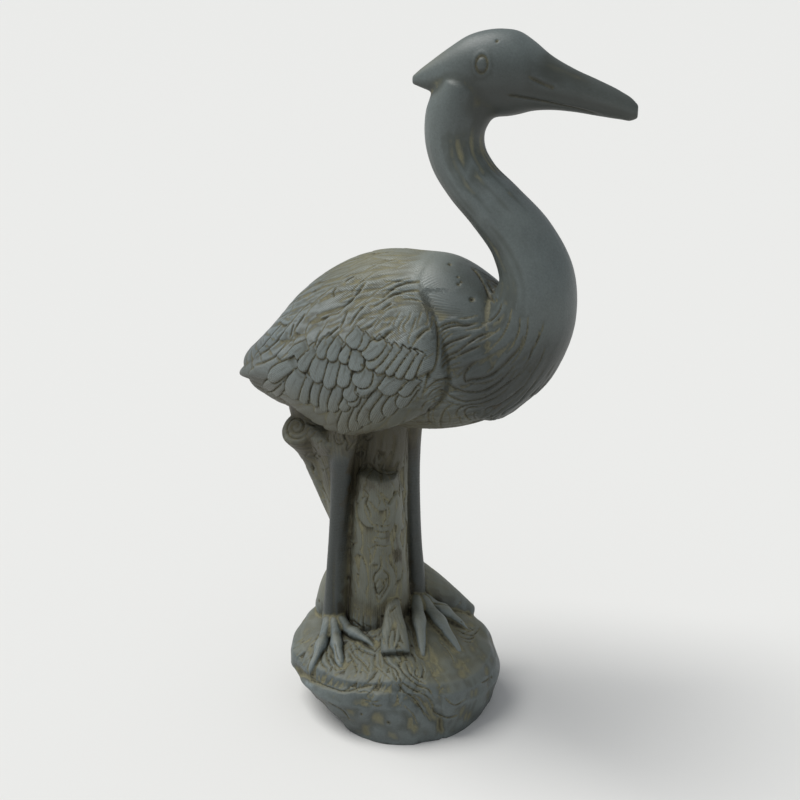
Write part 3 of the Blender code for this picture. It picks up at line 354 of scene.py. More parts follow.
# Each leg leans a little: how far its parts lie ahead of the ankle, as shares of the leg's length
LEG_LEVELS = (-0.045, 0.12, 0.30, 0.52, 0.76, 0.95, 1.16)
LEG_RADII = (1.25, 1.02, 0.94, 1.00, 1.18, 1.50, 2.60)
LEG_LEAN = {-1: (0.0, 0.008, 0.022, 0.044, 0.064, 0.080, 0.100),
            1: (0.0, 0.010, -0.004, -0.019, -0.030, -0.032, -0.035)}
# The three front toes of each foot, in degrees from +X, with lengths as shares of TOE_LENGTH
TOES = {-1: ((-82.0, 0.92), (-50.0, 0.96), (-14.0, 0.94)),
        1: ((-55.0, 1.33), (-24.0, 1.20), (10.0, 0.92))}


def ankle(side):
    return np.array([HIP_X + side * 0.5 * STRIDE - ANKLE_SET_BACK, side * LEG_SPACING / 2, ANKLE_Z])


def leg_place(side, level):
    """The middle of a leg at a level from its ankle, as a share of the leg's length."""
    lean = np.interp(level, LEG_LEVELS, LEG_LEAN[side])
    return ankle(side) + LEG_LENGTH * np.array([lean, 0.0, level])


def make_legs():
    pieces = []
    for side in (-1, 1):
        route = [leg_place(side, level) for level in LEG_LEVELS]
        pieces.append(tube("leg", route, [LEG_DIAMETER / 2 * r for r in LEG_RADII], dome=0.5))
    return pieces


# A toe from ankle to claw tip: share of its length, lift over the mound and thickness in toe radii
TOE_ROUTE = ((0.00, 0.30, 1.35), (0.20, 0.68, 1.10), (0.40, 0.62, 0.96), (0.58, 0.70, 1.12),
             (0.70, 0.50, 0.84), (0.86, 0.30, 0.64), (1.00, -0.05, 0.32))
TOE_THICKNESS = {-1: 0.96, 1: 1.18}
TOE_SLOPE = 0.45


def toe_lines():
    """For each toe: its side, and the points of its middle line from the ankle to the tip."""
    lines = []
    half = TOE_DIAMETER / 2
    for side in (-1, 1):
        start = ankle(side)
        for angle, length in TOES[side]:
            ahead = np.array([math.cos(math.radians(angle)), math.sin(math.radians(angle)), 0.0])
            drop = ANKLE_Z - mound_height(start[0], start[1])
            line = []
            for share, lift, _ in TOE_ROUTE:
                spot = start + ahead * TOE_LENGTH * length * share
                ground = mound_height(spot[0], spot[1]) + drop * max(0.0, 1 - share / TOE_SLOPE)
                line.append((spot[0], spot[1], ground + half * TOE_THICKNESS[side] * lift))
            lines.append((side, line))
    return lines


def make_feet():
    """Three long toes on each foot, which lie on the mound and end in a claw."""
    pieces = []
    for side, line in toe_lines():
        radii = [TOE_DIAMETER / 2 * TOE_THICKNESS[side] * thick for _, _, thick in TOE_ROUTE]
        pieces.append(tube("toe", line, radii, dome=0.9, step=0.002, around=32, flat=(0, 0, 1)))
    return pieces


# Stations of the body from tail tip to breast: place along the body's length, then top and
# bottom above the belly line as shares of its depth, then half width as a share of its width
BODY_STATIONS = ((-0.503, 0.275, 0.210, 0.050), (-0.491, 0.315, 0.160, 0.140),
                 (-0.462, 0.370, 0.110, 0.230), (-0.390, 0.510, 0.045, 0.340),
                 (-0.280, 0.730, 0.012, 0.435), (-0.170, 0.880, 0.008, 0.485),
                 (-0.060, 0.965, 0.015, 0.500), (0.055, 0.990, 0.030, 0.500),
                 (0.165, 0.985, 0.065, 0.480), (0.255, 0.905, 0.125, 0.440),
                 (0.340, 0.780, 0.220, 0.370), (0.405, 0.650, 0.340, 0.270),
                 (0.435, 0.560, 0.430, 0.150))


def make_body():
    stations = [(x * BODY_LENGTH, top * BODY_DEPTH, bottom * BODY_DEPTH, half * BODY_WIDTH)
                for x, top, bottom, half in BODY_STATIONS]
    return [loft("body", (0.0, 0.0, BELLY_Z), 0.0, stations)]


# Stations of a wing from tip to bend: place along the wing, top and bottom as shares of its depth,
# the middle's place out from the body as a share of half the span, and thickness as a share
WING_STATIONS = ((0.000, 0.300, 0.200, 0.36, 0.20), (0.045, 0.370, 0.200, 0.41, 0.45),
                 (0.170, 0.540, 0.180, 0.54, 0.72), (0.325, 0.740, 0.090, 0.67, 0.90),
                 (0.480, 0.895, 0.015, 0.75, 1.00), (0.665, 1.000, 0.070, 0.81, 1.06),
                 (0.790, 1.010, 0.165, 0.82, 1.08), (0.900, 0.970, 0.290, 0.82, 1.00),
                 (0.962, 0.880, 0.390, 0.795, 0.78), (1.000, 0.740, 0.520, 0.74, 0.30))
WING_TIP_X = -0.482


def make_wings():
    """Folded wings, which lean against the body at their upper and lower edges."""
    pieces = []
    table = np.array(WING_STATIONS)
    share = np.linspace(0.0, 1.0, 200)
    top, bottom, out, thick = (smooth_curve(table[:, 0], table[:, k], share) for k in (1, 2, 3, 4))
    angle = turn(108)
    up = np.clip(np.sin(angle), 0, 1) ** 2
    down = np.clip(-np.sin(angle), 0, 1) ** 2
    for side in (-1, 1):
        rings = []
        for k, along in enumerate(share):
            x = WING_TIP_X * BODY_LENGTH + along * WING_LENGTH
            middle = (top[k] + bottom[k]) / 2
            half = (top[k] - bottom[k]) / 2
            z = BELLY_Z + WING_DEPTH * (middle + half * np.sin(angle))
            y = (out[k] * WING_SPAN / 2 + thick[k] * WING_THICKNESS / 2 * np.cos(angle)
                 - 0.36 * WING_THICKNESS * up - 0.30 * WING_THICKNESS * down)
            rings.append(np.stack([np.full(len(angle), x), side * y, z], axis=1))
        pieces.append(skin("wing", rings))
    return pieces


# The neck's middle line from the breast to the head, as shares of its height from the root,
# with its radius front to back and from side to side as shares of NECK_DIAMETER
NECK_ROUTE = ((-0.135, -0.105), (0.006, 0.055), (0.086, 0.210), (0.099, 0.350), (0.036, 0.490),
              (-0.091, 0.622), (-0.205, 0.725), (-0.264, 0.810), (-0.286, 0.900), (-0.274, 1.000),
              (-0.244, 1.080))
NECK_RADII = (0.82, 0.84, 0.745, 0.635, 0.550, 0.485, 0.460, 0.475, 0.495, 0.500, 0.42)
NECK_SIDES = (1.00, 0.94, 0.78, 0.66, 0.58, 0.53, 0.50, 0.50, 0.51, 0.52, 0.46)


def neck_points():
    return [NECK_ROOT + NECK_HEIGHT * np.array([x, 0.0, z]) for x, z in NECK_ROUTE]


def make_neck():
    radii = [NECK_DIAMETER * r for r in NECK_RADII]
    sides = []
    for k, share in enumerate(NECK_SIDES):
        low = max(0.0, 1 - k / 3)
        sides.append(share * (BREAST_WIDTH / 2 * low + NECK_DIAMETER * (1 - low)))
    return [tube("neck", neck_points(), radii, sides, dome=0.8, around=108)]


# Stations of the skull from crest tip to the beak's root, along SKULL_LENGTH, then of the beak
# along BEAK_LENGTH: top and bottom over the head's origin in SKULL_DEPTH, half width in SKULL_WIDTH
SKULL_STATIONS = ((-0.390, 0.395, 0.305, 0.050), (-0.340, 0.460, 0.275, 0.110),
                  (-0.230, 0.582, 0.215, 0.210), (-0.075, 0.742, 0.110, 0.335),
                  (0.075, 0.876, 0.025, 0.440), (0.225, 0.942, -0.030, 0.495),
                  (0.370, 0.960, -0.060, 0.510), (0.510, 0.928, -0.025, 0.470),
                  (0.625, 0.828, 0.018, 0.405))
BEAK_STATIONS = ((0.145, 0.685, 0.035, 0.345), (0.380, 0.520, 0.022, 0.280),
                 (0.620, 0.392, -0.018, 0.225), (0.830, 0.270, -0.052, 0.170),
                 (0.945, 0.180, -0.062, 0.125), (1.000, 0.110, -0.030, 0.060))


# The throat, from the neck to the beak's root, in shares of the skull's length from its origin
THROAT_ROUTE = ((0.06, 0.010, -0.10), (0.16, 0.030, 0.04), (0.33, 0.090, 0.16))
THROAT_RADII = (0.185, 0.165, 0.140)


def make_head():
    stations = [(x * SKULL_LENGTH, top * SKULL_DEPTH, bottom * SKULL_DEPTH, half * SKULL_WIDTH)
                for x, top, bottom, half in SKULL_STATIONS]
    root = SKULL_STATIONS[-1][0] * SKULL_LENGTH
    stations += [(root + x * BEAK_LENGTH, top * SKULL_DEPTH, bottom * SKULL_DEPTH, half * SKULL_WIDTH)
                 for x, top, bottom, half in BEAK_STATIONS]
    places = [HEAD_ORIGIN + SKULL_LENGTH * np.array(place) for place in THROAT_ROUTE]
    throat = tube("throat", places, [SKULL_LENGTH * radius for radius in THROAT_RADII])
    return [loft("head", HEAD_ORIGIN, math.radians(HEAD_TURN), stations, step=0.0015), throat]


def fuse(pieces, grid):
    """One closed surface round all the pieces, on an even grid."""
    bpy.ops.object.select_all(action="DESELECT")
    for obj in pieces:
        obj.select_set(True)
    bpy.context.view_layer.objects.active = pieces[0]
    bpy.ops.object.join()
    whole = bpy.context.view_layer.objects.active
    modifier = whole.modifiers.new("Fuse", "REMESH")
    modifier.mode = "VOXEL"
    modifier.voxel_size = grid
    bpy.ops.object.modifier_apply(modifier=modifier.name)
    return whole


def points_of(obj):
    flat = np.empty(len(obj.data.vertices) * 3, np.float32)
    obj.data.vertices.foreach_get("co", flat)
    return flat.reshape(-1, 3).astype(float)


def normals_of(obj):
    flat = np.empty(len(obj.data.vertices) * 3, np.float32)
    obj.data.vertices.foreach_get("normal", flat)
    return flat.reshape(-1, 3).astype(float)


def edges_of(obj):
    flat = np.empty(len(obj.data.edges) * 2, np.int32)
    obj.data.edges.foreach_get("vertices", flat)
    return flat.reshape(-1, 2)


def set_points(obj, points):
    obj.data.vertices.foreach_set("co", points.astype(np.float32).ravel())
    obj.data.update()


def even_out(points, edges, rounds, weight=1.0, keep_volume=True):
    """Takes the grid's steps out of the surface; keep_volume pushes back what each round shrinks."""
    weight = np.broadcast_to(weight, (len(points),))
    edges = edges[(weight[edges] > 0).any(axis=1)]
    start = np.concatenate([edges[:, 0], edges[:, 1]])
    end = np.concatenate([edges[:, 1], edges[:, 0]])
    count = np.maximum(np.bincount(start, minlength=len(points)), 1)[:, None]
    factors = (0.55, -0.57) if keep_volume else (0.5,)
    for _ in range(rounds):
        for factor in factors:
            mean = np.stack([np.bincount(start, weights=points[end, k], minlength=len(points))
                             for k in range(3)], axis=1) / count
            points = points + (mean - points) * factor * weight[:, None]
    return points


def fill_creases(points, normals, edges, rounds, weight):
    """Fills sharp inner corners with stone, and leaves everything that bulges as it is."""
    edges = edges[(weight[edges] > 0).any(axis=1)]
    start = np.concatenate([edges[:, 0], edges[:, 1]])
    end = np.concatenate([edges[:, 1], edges[:, 0]])
    count = np.maximum(np.bincount(start, minlength=len(points)), 1)
    for _ in range(rounds):
        low = np.zeros(len(points))
        for k in range(3):
            mean = np.bincount(start, weights=points[end, k], minlength=len(points)) / count
            low += (mean - points[:, k]) * normals[:, k]
        points = points + normals * (0.5 * weight * np.maximum(low, 0.0))[:, None]
    return points


def near_spots(points, spots):
    """A soft share from 1 at some places to 0 at a reach from each of them."""
    weight = np.zeros(len(points))
    for centre, reach in spots:
        distance = np.linalg.norm(points - centre, axis=1)
        weight = np.maximum(weight, 1 - ramp(distance, 0.35 * reach, reach))
    return weight


def soften_joins(points, normals, edges, grid):
    """Blends the throat into the neck, the neck into the back, and the limbs into the belly."""
    fineness = (GRID / grid) ** 2
    throat = [(HEAD_ORIGIN + SKULL_LENGTH * np.array([0.10, 0.0, -0.05]), 0.50 * SKULL_LENGTH),
              (HEAD_ORIGIN + SKULL_LENGTH * np.array([0.30, 0.08, -0.10]), 0.34 * SKULL_LENGTH)]
    shoulders = []
    for side in (-1, 1):
        bend = WING_TIP_X * BODY_LENGTH + 0.93 * WING_LENGTH
        shoulders.append(np.array([bend, side * 0.30 * WING_SPAN, BELLY_Z + 0.96 * WING_DEPTH]))
    filled = throat + [(place, 0.19 * WING_LENGTH) for place in shoulders]
    points = fill_creases(points, normals, edges, int(FILL_ROUNDS * fineness), near_spots(points, filled))
    bark = [(branch_place(0.60, 0.20, 0.72), 0.45 * LEG_LENGTH)]
    points = fill_creases(points, normals, edges, int(0.3 * FILL_ROUNDS * fineness),
                          near_spots(points, bark))
    spots = [(HEAD_ORIGIN + SKULL_LENGTH * np.array([0.26, 0.08, -0.06]), 0.22 * SKULL_LENGTH),
             (HEAD_ORIGIN + SKULL_LENGTH * np.array([-0.20, -0.05, 0.06]), 0.10 * SKULL_LENGTH),
             (NECK_ROOT + NECK_HEIGHT * np.array([-0.02, 0.0, 0.16]), 0.175 * NECK_HEIGHT)]
    for side, place in zip((-1, 1), shoulders):
        spots.append((leg_place(side, 0.98), 0.11 * LEG_LENGTH))
        spots.append((place, 0.16 * WING_LENGTH))
    return even_out(points, edges, int(JOIN_ROUNDS * fineness), near_spots(points, spots),
                    keep_volume=False)


def chance(i, j, seed):
    """A repeatable random share between 0 and 1 for each cell of a grid."""
    value = np.sin(i * 127.1 + j * 311.7 + seed * 74.7) * 43758.5453
    return value - np.floor(value)


def blades(p, q, cell, length, width, heading, seed, tip=1.0, bend=0.0, spread=0.2, rise=0.75):
    """Height from 0 to 1 of overlapping feathers or locks, laid in staggered rows over (p, q).

    Each one starts in a cell of the grid and runs along its heading. A tip of 1 is round, 0 is a
    point. It lies low at its root and highest near its tip, so that it covers the next row.
    """
    best = np.zeros_like(p)
    column = np.floor(p / cell[0])
    row = np.floor(q / cell[1])
    reach_p = int(math.ceil(length / cell[0])) + 1
    reach_q = int(math.ceil(length / cell[1])) + 1
    for dj in range(-reach_q, reach_q + 1):
        for di in range(-reach_p, 2):
            i = column + di
            j = row + dj
            first = chance(i, j, seed)
            second = chance(j, i, seed + 3.1)
            p0 = (i + 0.5 * np.mod(j, 2) + spread * (first - 0.5)) * cell[0]
            q0 = (j + spread * (second - 0.5)) * cell[1]
            angle = heading(p0, q0) + 0.6 * spread * (second - 0.5)
            c, s = np.cos(angle), np.sin(angle)
            size = 1 + spread * (first - 0.5)
            along = ((p - p0) * c + (q - q0) * s) / (length * size)
            aside = (q - q0) * c - (p - p0) * s
            aside = aside - bend * (first + second - 1.0) * length * along * (1 - along)
            inside = (along > 0) & (along < 1)
            t = np.clip(along, 0.0, 1.0)
            shape = (np.sqrt(np.clip(1 - np.clip((t - 0.6) / 0.4, 0, 1) ** 2, 0, 1)) * tip
                     + (1 - t) ** 0.7 * (1 - tip))
            half = width / 2 * shape * (0.55 + 0.45 * np.clip(t / 0.35, 0, 1))
            edge = 1 - (aside / np.maximum(half, 1e-6)) ** 2
            height = (1 - rise + rise * t) * np.clip(edge, 0, 1) ** 0.35
            best = np.maximum(best, np.where(inside & (edge > 0), height, 0.0))
    return best


def spine_places(points, route):
    """For each point, how far along a route in the XZ plane it lies, and its angle round it."""
    route = np.asarray(route)
    run = np.concatenate([[0.0], np.cumsum(np.linalg.norm(np.diff(route, axis=0), axis=1))])
    at = np.linspace(0.0, run[-1], 60)
    line = smooth_curve(run, route, at)
    ahead = np.gradient(line, at, axis=0)
    ahead /= np.linalg.norm(ahead, axis=1)[:, None]
    near = np.zeros(len(points), int)
    best = np.full(len(points), np.inf)
    for k, spot in enumerate(line):
        distance = (points[:, 0] - spot[0]) ** 2 + (points[:, 2] - spot[2]) ** 2
        closer = distance < best
        best[closer] = distance[closer]
        near[closer] = k
    offset = points - line[near]
    direction = ahead[near]
    along = at[near] + np.sum(offset * direction, axis=1)
    outward = np.stack([direction[:, 2], np.zeros(len(points)), -direction[:, 0]], axis=1)
    angle = np.arctan2(np.abs(points[:, 1]), np.sum(offset * outward, axis=1))
    return along, angle, np.sqrt(best)


def crease_place(level):
    """Where the front edge of a wing lies along X, for a height as a share of the body's depth."""
    above = np.clip((level - 0.45) / 0.45, 0, 1)
    below = np.clip((0.45 - level) / 0.45, 0, 1)
    bend = WING_TIP_X * BODY_LENGTH + WING_LENGTH
    return bend - WING_LENGTH * (0.17 * above**2 + 0.45 * below**2)


def carve_body(points):
    """Plumes over the back, scallops and long feathers on the wings, small locks at the bend."""
    x, y, z = points.T
    level = (z - BELLY_Z) / BODY_DEPTH
    fade = EDGE_FADE * (1 + 5 * ramp(level, 0.55, 0.75))
    behind = (ramp(crease_place(level) - x, -fade, fade)
              * ramp(z, BELLY_Z - 2 * EDGE_FADE, BELLY_Z + EDGE_FADE))
    total = np.zeros(len(points))
    here = behind > 0
    x, y, z, level = x[here], y[here], z[here], level[here]
    p = WING_TIP_X * BODY_LENGTH + WING_LENGTH - x
    round_radius = 0.46 * BODY_DEPTH
    q = np.arctan2(np.abs(y), z - BODY_AXIS_Z) * round_radius
    share = np.clip(p / WING_LENGTH, 0, 1.1)
    top = round_radius * (1.22 - 0.10 * share)
    lesser = ((1 - ramp(p - 1.1 * (q - top), 0.95 * FEATHER_LENGTH, 1.40 * FEATHER_LENGTH))
              * (1 - ramp(q - top, 0.47 * FEATHER_LENGTH, 0.72 * FEATHER_LENGTH)))
    scallops = ramp(q - top, -EDGE_FADE, EDGE_FADE) * (1 - lesser)
    long_rows = ramp(q, round_radius * (2.02 - 0.10 * share), round_radius * (2.10 - 0.10 * share))
    side_seed = np.where(y > 0, 5.0, 0.0)

    def heading(p0, q0):
        return np.radians(56 - 40 * np.clip(p0 / WING_LENGTH, 0, 1.1))

    def plume_heading(p0, q0):
        return np.radians(4 + 34 * np.clip(q0 / (1.3 * round_radius), 0, 1))

    feathers = blades(p, q, (FEATHER_WIDTH * 0.88, FEATHER_LENGTH * 0.58), FEATHER_LENGTH,
                      FEATHER_WIDTH, heading, side_seed + 11, tip=1.0, spread=0.35)
    flights = blades(p, q, (FEATHER_WIDTH * 0.62, FEATHER_LENGTH * 0.85), FEATHER_LENGTH * 1.5,
                     FEATHER_WIDTH * 0.80, heading, side_seed + 12, tip=0.85, spread=0.3)
    plumes = blades(p, q, (PLUME_LENGTH * 0.26, PLUME_WIDTH * 0.80), PLUME_LENGTH, PLUME_WIDTH,
                    plume_heading, side_seed + 13, tip=0.3, bend=0.6, spread=0.5, rise=0.6)
    small = blades(p, q, (LOCK_LENGTH * 0.16, LOCK_WIDTH * 0.50), LOCK_LENGTH * 0.42,
                   LOCK_WIDTH * 0.55, heading, side_seed + 14, tip=0.3, bend=0.5, rise=0.5)
    bare_back = ramp(p + 0.35 * q, 0.17 * WING_LENGTH, 0.42 * WING_LENGTH)
    winged = feathers * (1 - long_rows) + flights * long_rows
    carved = (winged * FEATHER_LIFT * scallops
              + plumes * PLUME_LIFT * (1 - scallops) * (1 - lesser) * bare_back
              + (0.8 * FEATHER_LIFT * ramp(p + 0.8 * (q - top), -0.4 * FEATHER_LENGTH, FEATHER_LENGTH)
                 + small * 0.4 * LOCK_LIFT)
              * lesser * ramp(q - top, -0.95 * FEATHER_LENGTH, -0.30 * FEATHER_LENGTH))
    total[here] = carved * behind[here]
    return total


def breast_route():
    """The line that the breast's locks follow: down the neck, round the breast and back."""
    low = [NECK_ROOT + NECK_HEIGHT * np.array(s) for s in ((-0.10, 0.0, -0.12), (-0.34, 0.0, -0.27),
                                                         (-0.62, 0.0, -0.33))]
    return neck_points()[:0:-1] + low


def carve_breast(points):
    """Locks that leave the neck and sweep back and down towards the wings."""
    along, angle, _ = spine_places(points, breast_route())
    x, y, z = points.T
    ahead = (ramp(x - crease_place((z - BELLY_Z) / BODY_DEPTH), 0.0, 2 * EDGE_FADE)
             * ramp(z, BELLY_Z - 0.13 * BODY_DEPTH, BELLY_Z))
    rear = ramp(angle, math.radians(38), math.radians(75)) * ramp(along, 0.95 * NECK_HEIGHT,
                                                                  1.35 * NECK_HEIGHT)
    under = ramp(along, 1.20 * NECK_HEIGHT, 1.50 * NECK_HEIGHT)
    grown = np.maximum(rear, under) * ahead
    here = grown > 0
    total = np.zeros(len(points))

    def heading(p0, q0):
        return np.radians(-38 + 26 * np.clip(q0 / (math.pi * BREAST_WIDTH / 2), 0, 1))

    q = angle * BREAST_WIDTH / 2
    seed = np.where(y > 0, 36.0, 31.0)
    locks = blades(along[here], q[here], (LOCK_LENGTH * 0.34, LOCK_WIDTH * 0.85), LOCK_LENGTH,
                   LOCK_WIDTH, heading, seed[here], tip=0.25, bend=0.7, spread=0.5, rise=0.6)
    total[here] = locks * LOCK_LIFT * grown[here]
    return total


def carve_trunk(points):
    """Long cracks in the bark of the trunk and its branch, between the mound and the belly."""
    x, y, z = points.T
    around = np.arctan2(y, x - HIP_X) * TRUNK_DIAMETER / 2
    level = (z - ANKLE_Z) / LEG_LENGTH
    woody = ramp(level, 0.08, 0.20) * (1 - ramp(level, 0.88, 1.0))
    for side in (-1, 1):
        foot = ankle(side)
        lean = LEG_LENGTH * np.interp(level, LEG_LEVELS, LEG_LEAN[side])
        reach = np.hypot(x - foot[0] - lean, y - foot[1])
        woody = woody * ramp(reach, LEG_DIAMETER * 0.60, LEG_DIAMETER * 0.90)
    here = woody > 0
    total = np.zeros(len(points))

    def upright(p0, q0):
        return 0 * p0

    plates = blades(z[here], around[here], (BARK_PLATE_LENGTH * 0.6, BARK_PLATE_WIDTH),
                    BARK_PLATE_LENGTH, BARK_PLATE_WIDTH, upright, 7.0, tip=0.25, bend=1.2,
                    spread=0.6, rise=0.3)
    total[here] = plates * BARK_DEPTH * woody[here]
    return total


def off_the_toes(points):
    """0 on the toes and 1 away from them, by the distance in plan to each toe's middle line."""
    away = np.ones(len(points))
    for side, line in toe_lines():
        radius = TOE_DIAMETER / 2 * TOE_THICKNESS[side]
        for (x0, y0, _), (x1, y1, _) in zip(line[:-1], line[1:]):
            along = np.array([x1 - x0, y1 - y0])
            share = ((points[:, 0] - x0) * along[0] + (points[:, 1] - y0) * along[1]) / (along @ along)
            share = np.clip(share, 0, 1)
            gap = np.hypot(points[:, 0] - x0 - share * along[0], points[:, 1] - y0 - share * along[1])
            away = away * ramp(gap, 0.95 * radius, 1.25 * radius)
    return away


# The groove over the mound's front lobe: angle from +X and height as a share of the wall's
LOBE_GROOVE = ((-150.0, 0.62), (-122.0, 0.80), (-98.0, 0.93), (-76.0, 1.08), (-58.0, 1.02),
               (-45.0, 0.72), (-36.0, 0.34), (-32.0, 0.0))
LOBE_GROOVE_DEPTH = 0.0050
LOBE_GROOVE_WIDTH = 0.0075
MOUND_LUMPS = 0.0018


def carve_mound(points):
    """A groove over the front lobe, and grass-like grooves that run down from between the toes."""
    x, y, z = points.T
    angle = np.arctan2(y, x)
    reach = np.hypot(x, y)
    table = np.radians([a for a, _ in LOBE_GROOVE])
    line = np.interp(angle, table, [h * MOUND_WALL_HEIGHT for _, h in LOBE_GROOVE])
    steep = np.interp(angle, table[[3, 5, 6]], [1.0, 0.55, 0.35])
    on_wall = ramp(reach, 0.55 * MOUND_DIAMETER / 2, 0.75 * MOUND_DIAMETER / 2)
    in_front = ramp(angle, table[0], table[1]) * (1 - ramp(angle, table[-2], table[-1]))
    offset = (z - line) * steep / LOBE_GROOVE_WIDTH
    total = -LOBE_GROOVE_DEPTH * np.exp(-offset**2) * on_wall * in_front
    waves = (np.sin(x * 71 + 1.3 + 2 * np.sin(y * 31)) * np.sin(y * 83 + 0.4) + 0.6 * np.sin(
        z * 120 + 3 * np.sin(angle * 2 + 1)) * np.sin(x * 140 + y * 60))
    total += MOUND_LUMPS * waves * (1 - ramp(z, MOUND_WALL_HEIGHT, ANKLE_Z))
    slope = reach + 0.7 * np.maximum(ANKLE_Z - z, 0.0)
    upper = ((1 - ramp(z, ANKLE_Z, ANKLE_Z + 0.25 * MOUND_WALL_HEIGHT))
             * ramp(z, 0.70 * MOUND_WALL_HEIGHT, 1.00 * MOUND_WALL_HEIGHT))
    in_grass = 1 - ramp(np.abs(angle + math.radians(92)), math.radians(42), math.radians(66))
    upper = upper * off_the_toes(points) * in_grass
    here = upper > 0

    def heading(p0, q0):
        return 0.35 * np.sin(p0 * 60 + q0 * 25)

    grass = blades(slope[here], angle[here] * MOUND_DIAMETER / 3.2, (GRASS_LENGTH * 0.42, GRASS_WIDTH),
                   GRASS_LENGTH, GRASS_WIDTH * 1.2, heading, 3.0, tip=0.1, bend=0.9, rise=0.4)
    total[here] += grass * GRASS_LIFT * upper[here]
    return total


def head_places(points):
    """Places along, out from and above the head's own axis, whichever way the head is turned."""
    heading = math.radians(HEAD_TURN)
    offset = points - HEAD_ORIGIN
    along = offset[:, 0] * math.cos(heading) + offset[:, 1] * math.sin(heading)
    out = offset[:, 1] * math.cos(heading) - offset[:, 0] * math.sin(heading)
    return along, out, offset[:, 2]


# The eye's middle, the mouth's two ends and the nostril's two ends, along the skull's length and up
# over the head's origin in its depth; the mouth's far end lies along the beak instead
EYE_PLACE = (0.226, 0.576)
EYE_SHAPE = (0.80, 1.08)
MOUTH_START = (0.438, 0.225)
MOUTH_END = (0.74, -0.035)
NOSTRIL = ((0.600, 0.452), (0.800, 0.318))


def carve_head(points):
    """Low oval eyes, each in a lid, the line of the mouth, and a slit nostril on each side."""
    along, out, up = head_places(points)
    aside = np.abs(out) > 0.05 * SKULL_WIDTH
    reach = np.hypot((along - EYE_PLACE[0] * SKULL_LENGTH) / (EYE_DIAMETER / 2 * EYE_SHAPE[0]),
                     (up - EYE_PLACE[1] * SKULL_DEPTH) / (EYE_DIAMETER / 2 * EYE_SHAPE[1]))
    ball = 0.095 * EYE_DIAMETER * np.sqrt(np.clip(1 - reach**2, 0, 1))
    lid = 0.055 * EYE_DIAMETER * np.exp(-((reach - 1.60) / 0.30) ** 2)
    groove = -0.075 * EYE_DIAMETER * np.exp(-((reach - 1.12) / 0.26) ** 2)
    total = np.where((np.abs(out) > 0.25 * SKULL_WIDTH) & (reach < 3), ball + lid + groove, 0.0)
    root = MOUTH_START[0] * SKULL_LENGTH
    tip = SKULL_STATIONS[-1][0] * SKULL_LENGTH + MOUTH_END[0] * BEAK_LENGTH
    share = (along - root) / (tip - root)
    drop = (MOUTH_START[1] - MOUTH_END[1]) * np.clip(share, 0, 1) ** 1.25
    mouth = SKULL_DEPTH * (MOUTH_START[1] - drop)
    inside = ramp(share, 0.0, 0.04) * (1 - ramp(share, 0.80, 1.0)) * aside
    total -= MOUTH_DEPTH * np.exp(-((up - mouth) / MOUTH_WIDTH) ** 2) * inside
    ends = [np.array([a * SKULL_LENGTH, u * SKULL_DEPTH]) for a, u in NOSTRIL]
    run = ends[1] - ends[0]
    offset = np.stack([along, up], axis=1) - ends[0]
    share = np.clip(offset @ run / (run @ run), 0, 1)
    gap = np.linalg.norm(offset - share[:, None] * run, axis=1)
    total -= NOSTRIL_DEPTH * np.exp(-(gap / NOSTRIL_WIDTH) ** 2) * aside * ramp(share, 0.0, 0.4)
    return total


def thin_out(obj, faces):
    """Fewer faces, with the most kept where the surface bends most."""
    modifier = obj.modifiers.new("Thin", "DECIMATE")
    modifier.ratio = min(1.0, faces / (2.0 * len(obj.data.polygons)))
    bpy.ops.object.modifier_apply(modifier=modifier.name)


def cut_flat(obj):
    """The flat underside: what lies below the ground is cut off and the cut is closed."""
    bm = bmesh.new()
    bm.from_mesh(obj.data)
    geometry = bm.verts[:] + bm.edges[:] + bm.faces[:]
    bmesh.ops.bisect_plane(bm, geom=geometry, dist=1e-5, plane_co=(0, 0, 0), plane_no=(0, 0, 1),
                           clear_inner=True)
    rim = [edge for edge in bm.edges if edge.is_boundary]
    bmesh.ops.contextual_create(bm, geom=rim)
    bmesh.ops.triangulate(bm, faces=bm.faces[:])
    bmesh.ops.recalc_face_normals(bm, faces=bm.faces[:])
    bm.to_mesh(obj.data)
    bm.free()

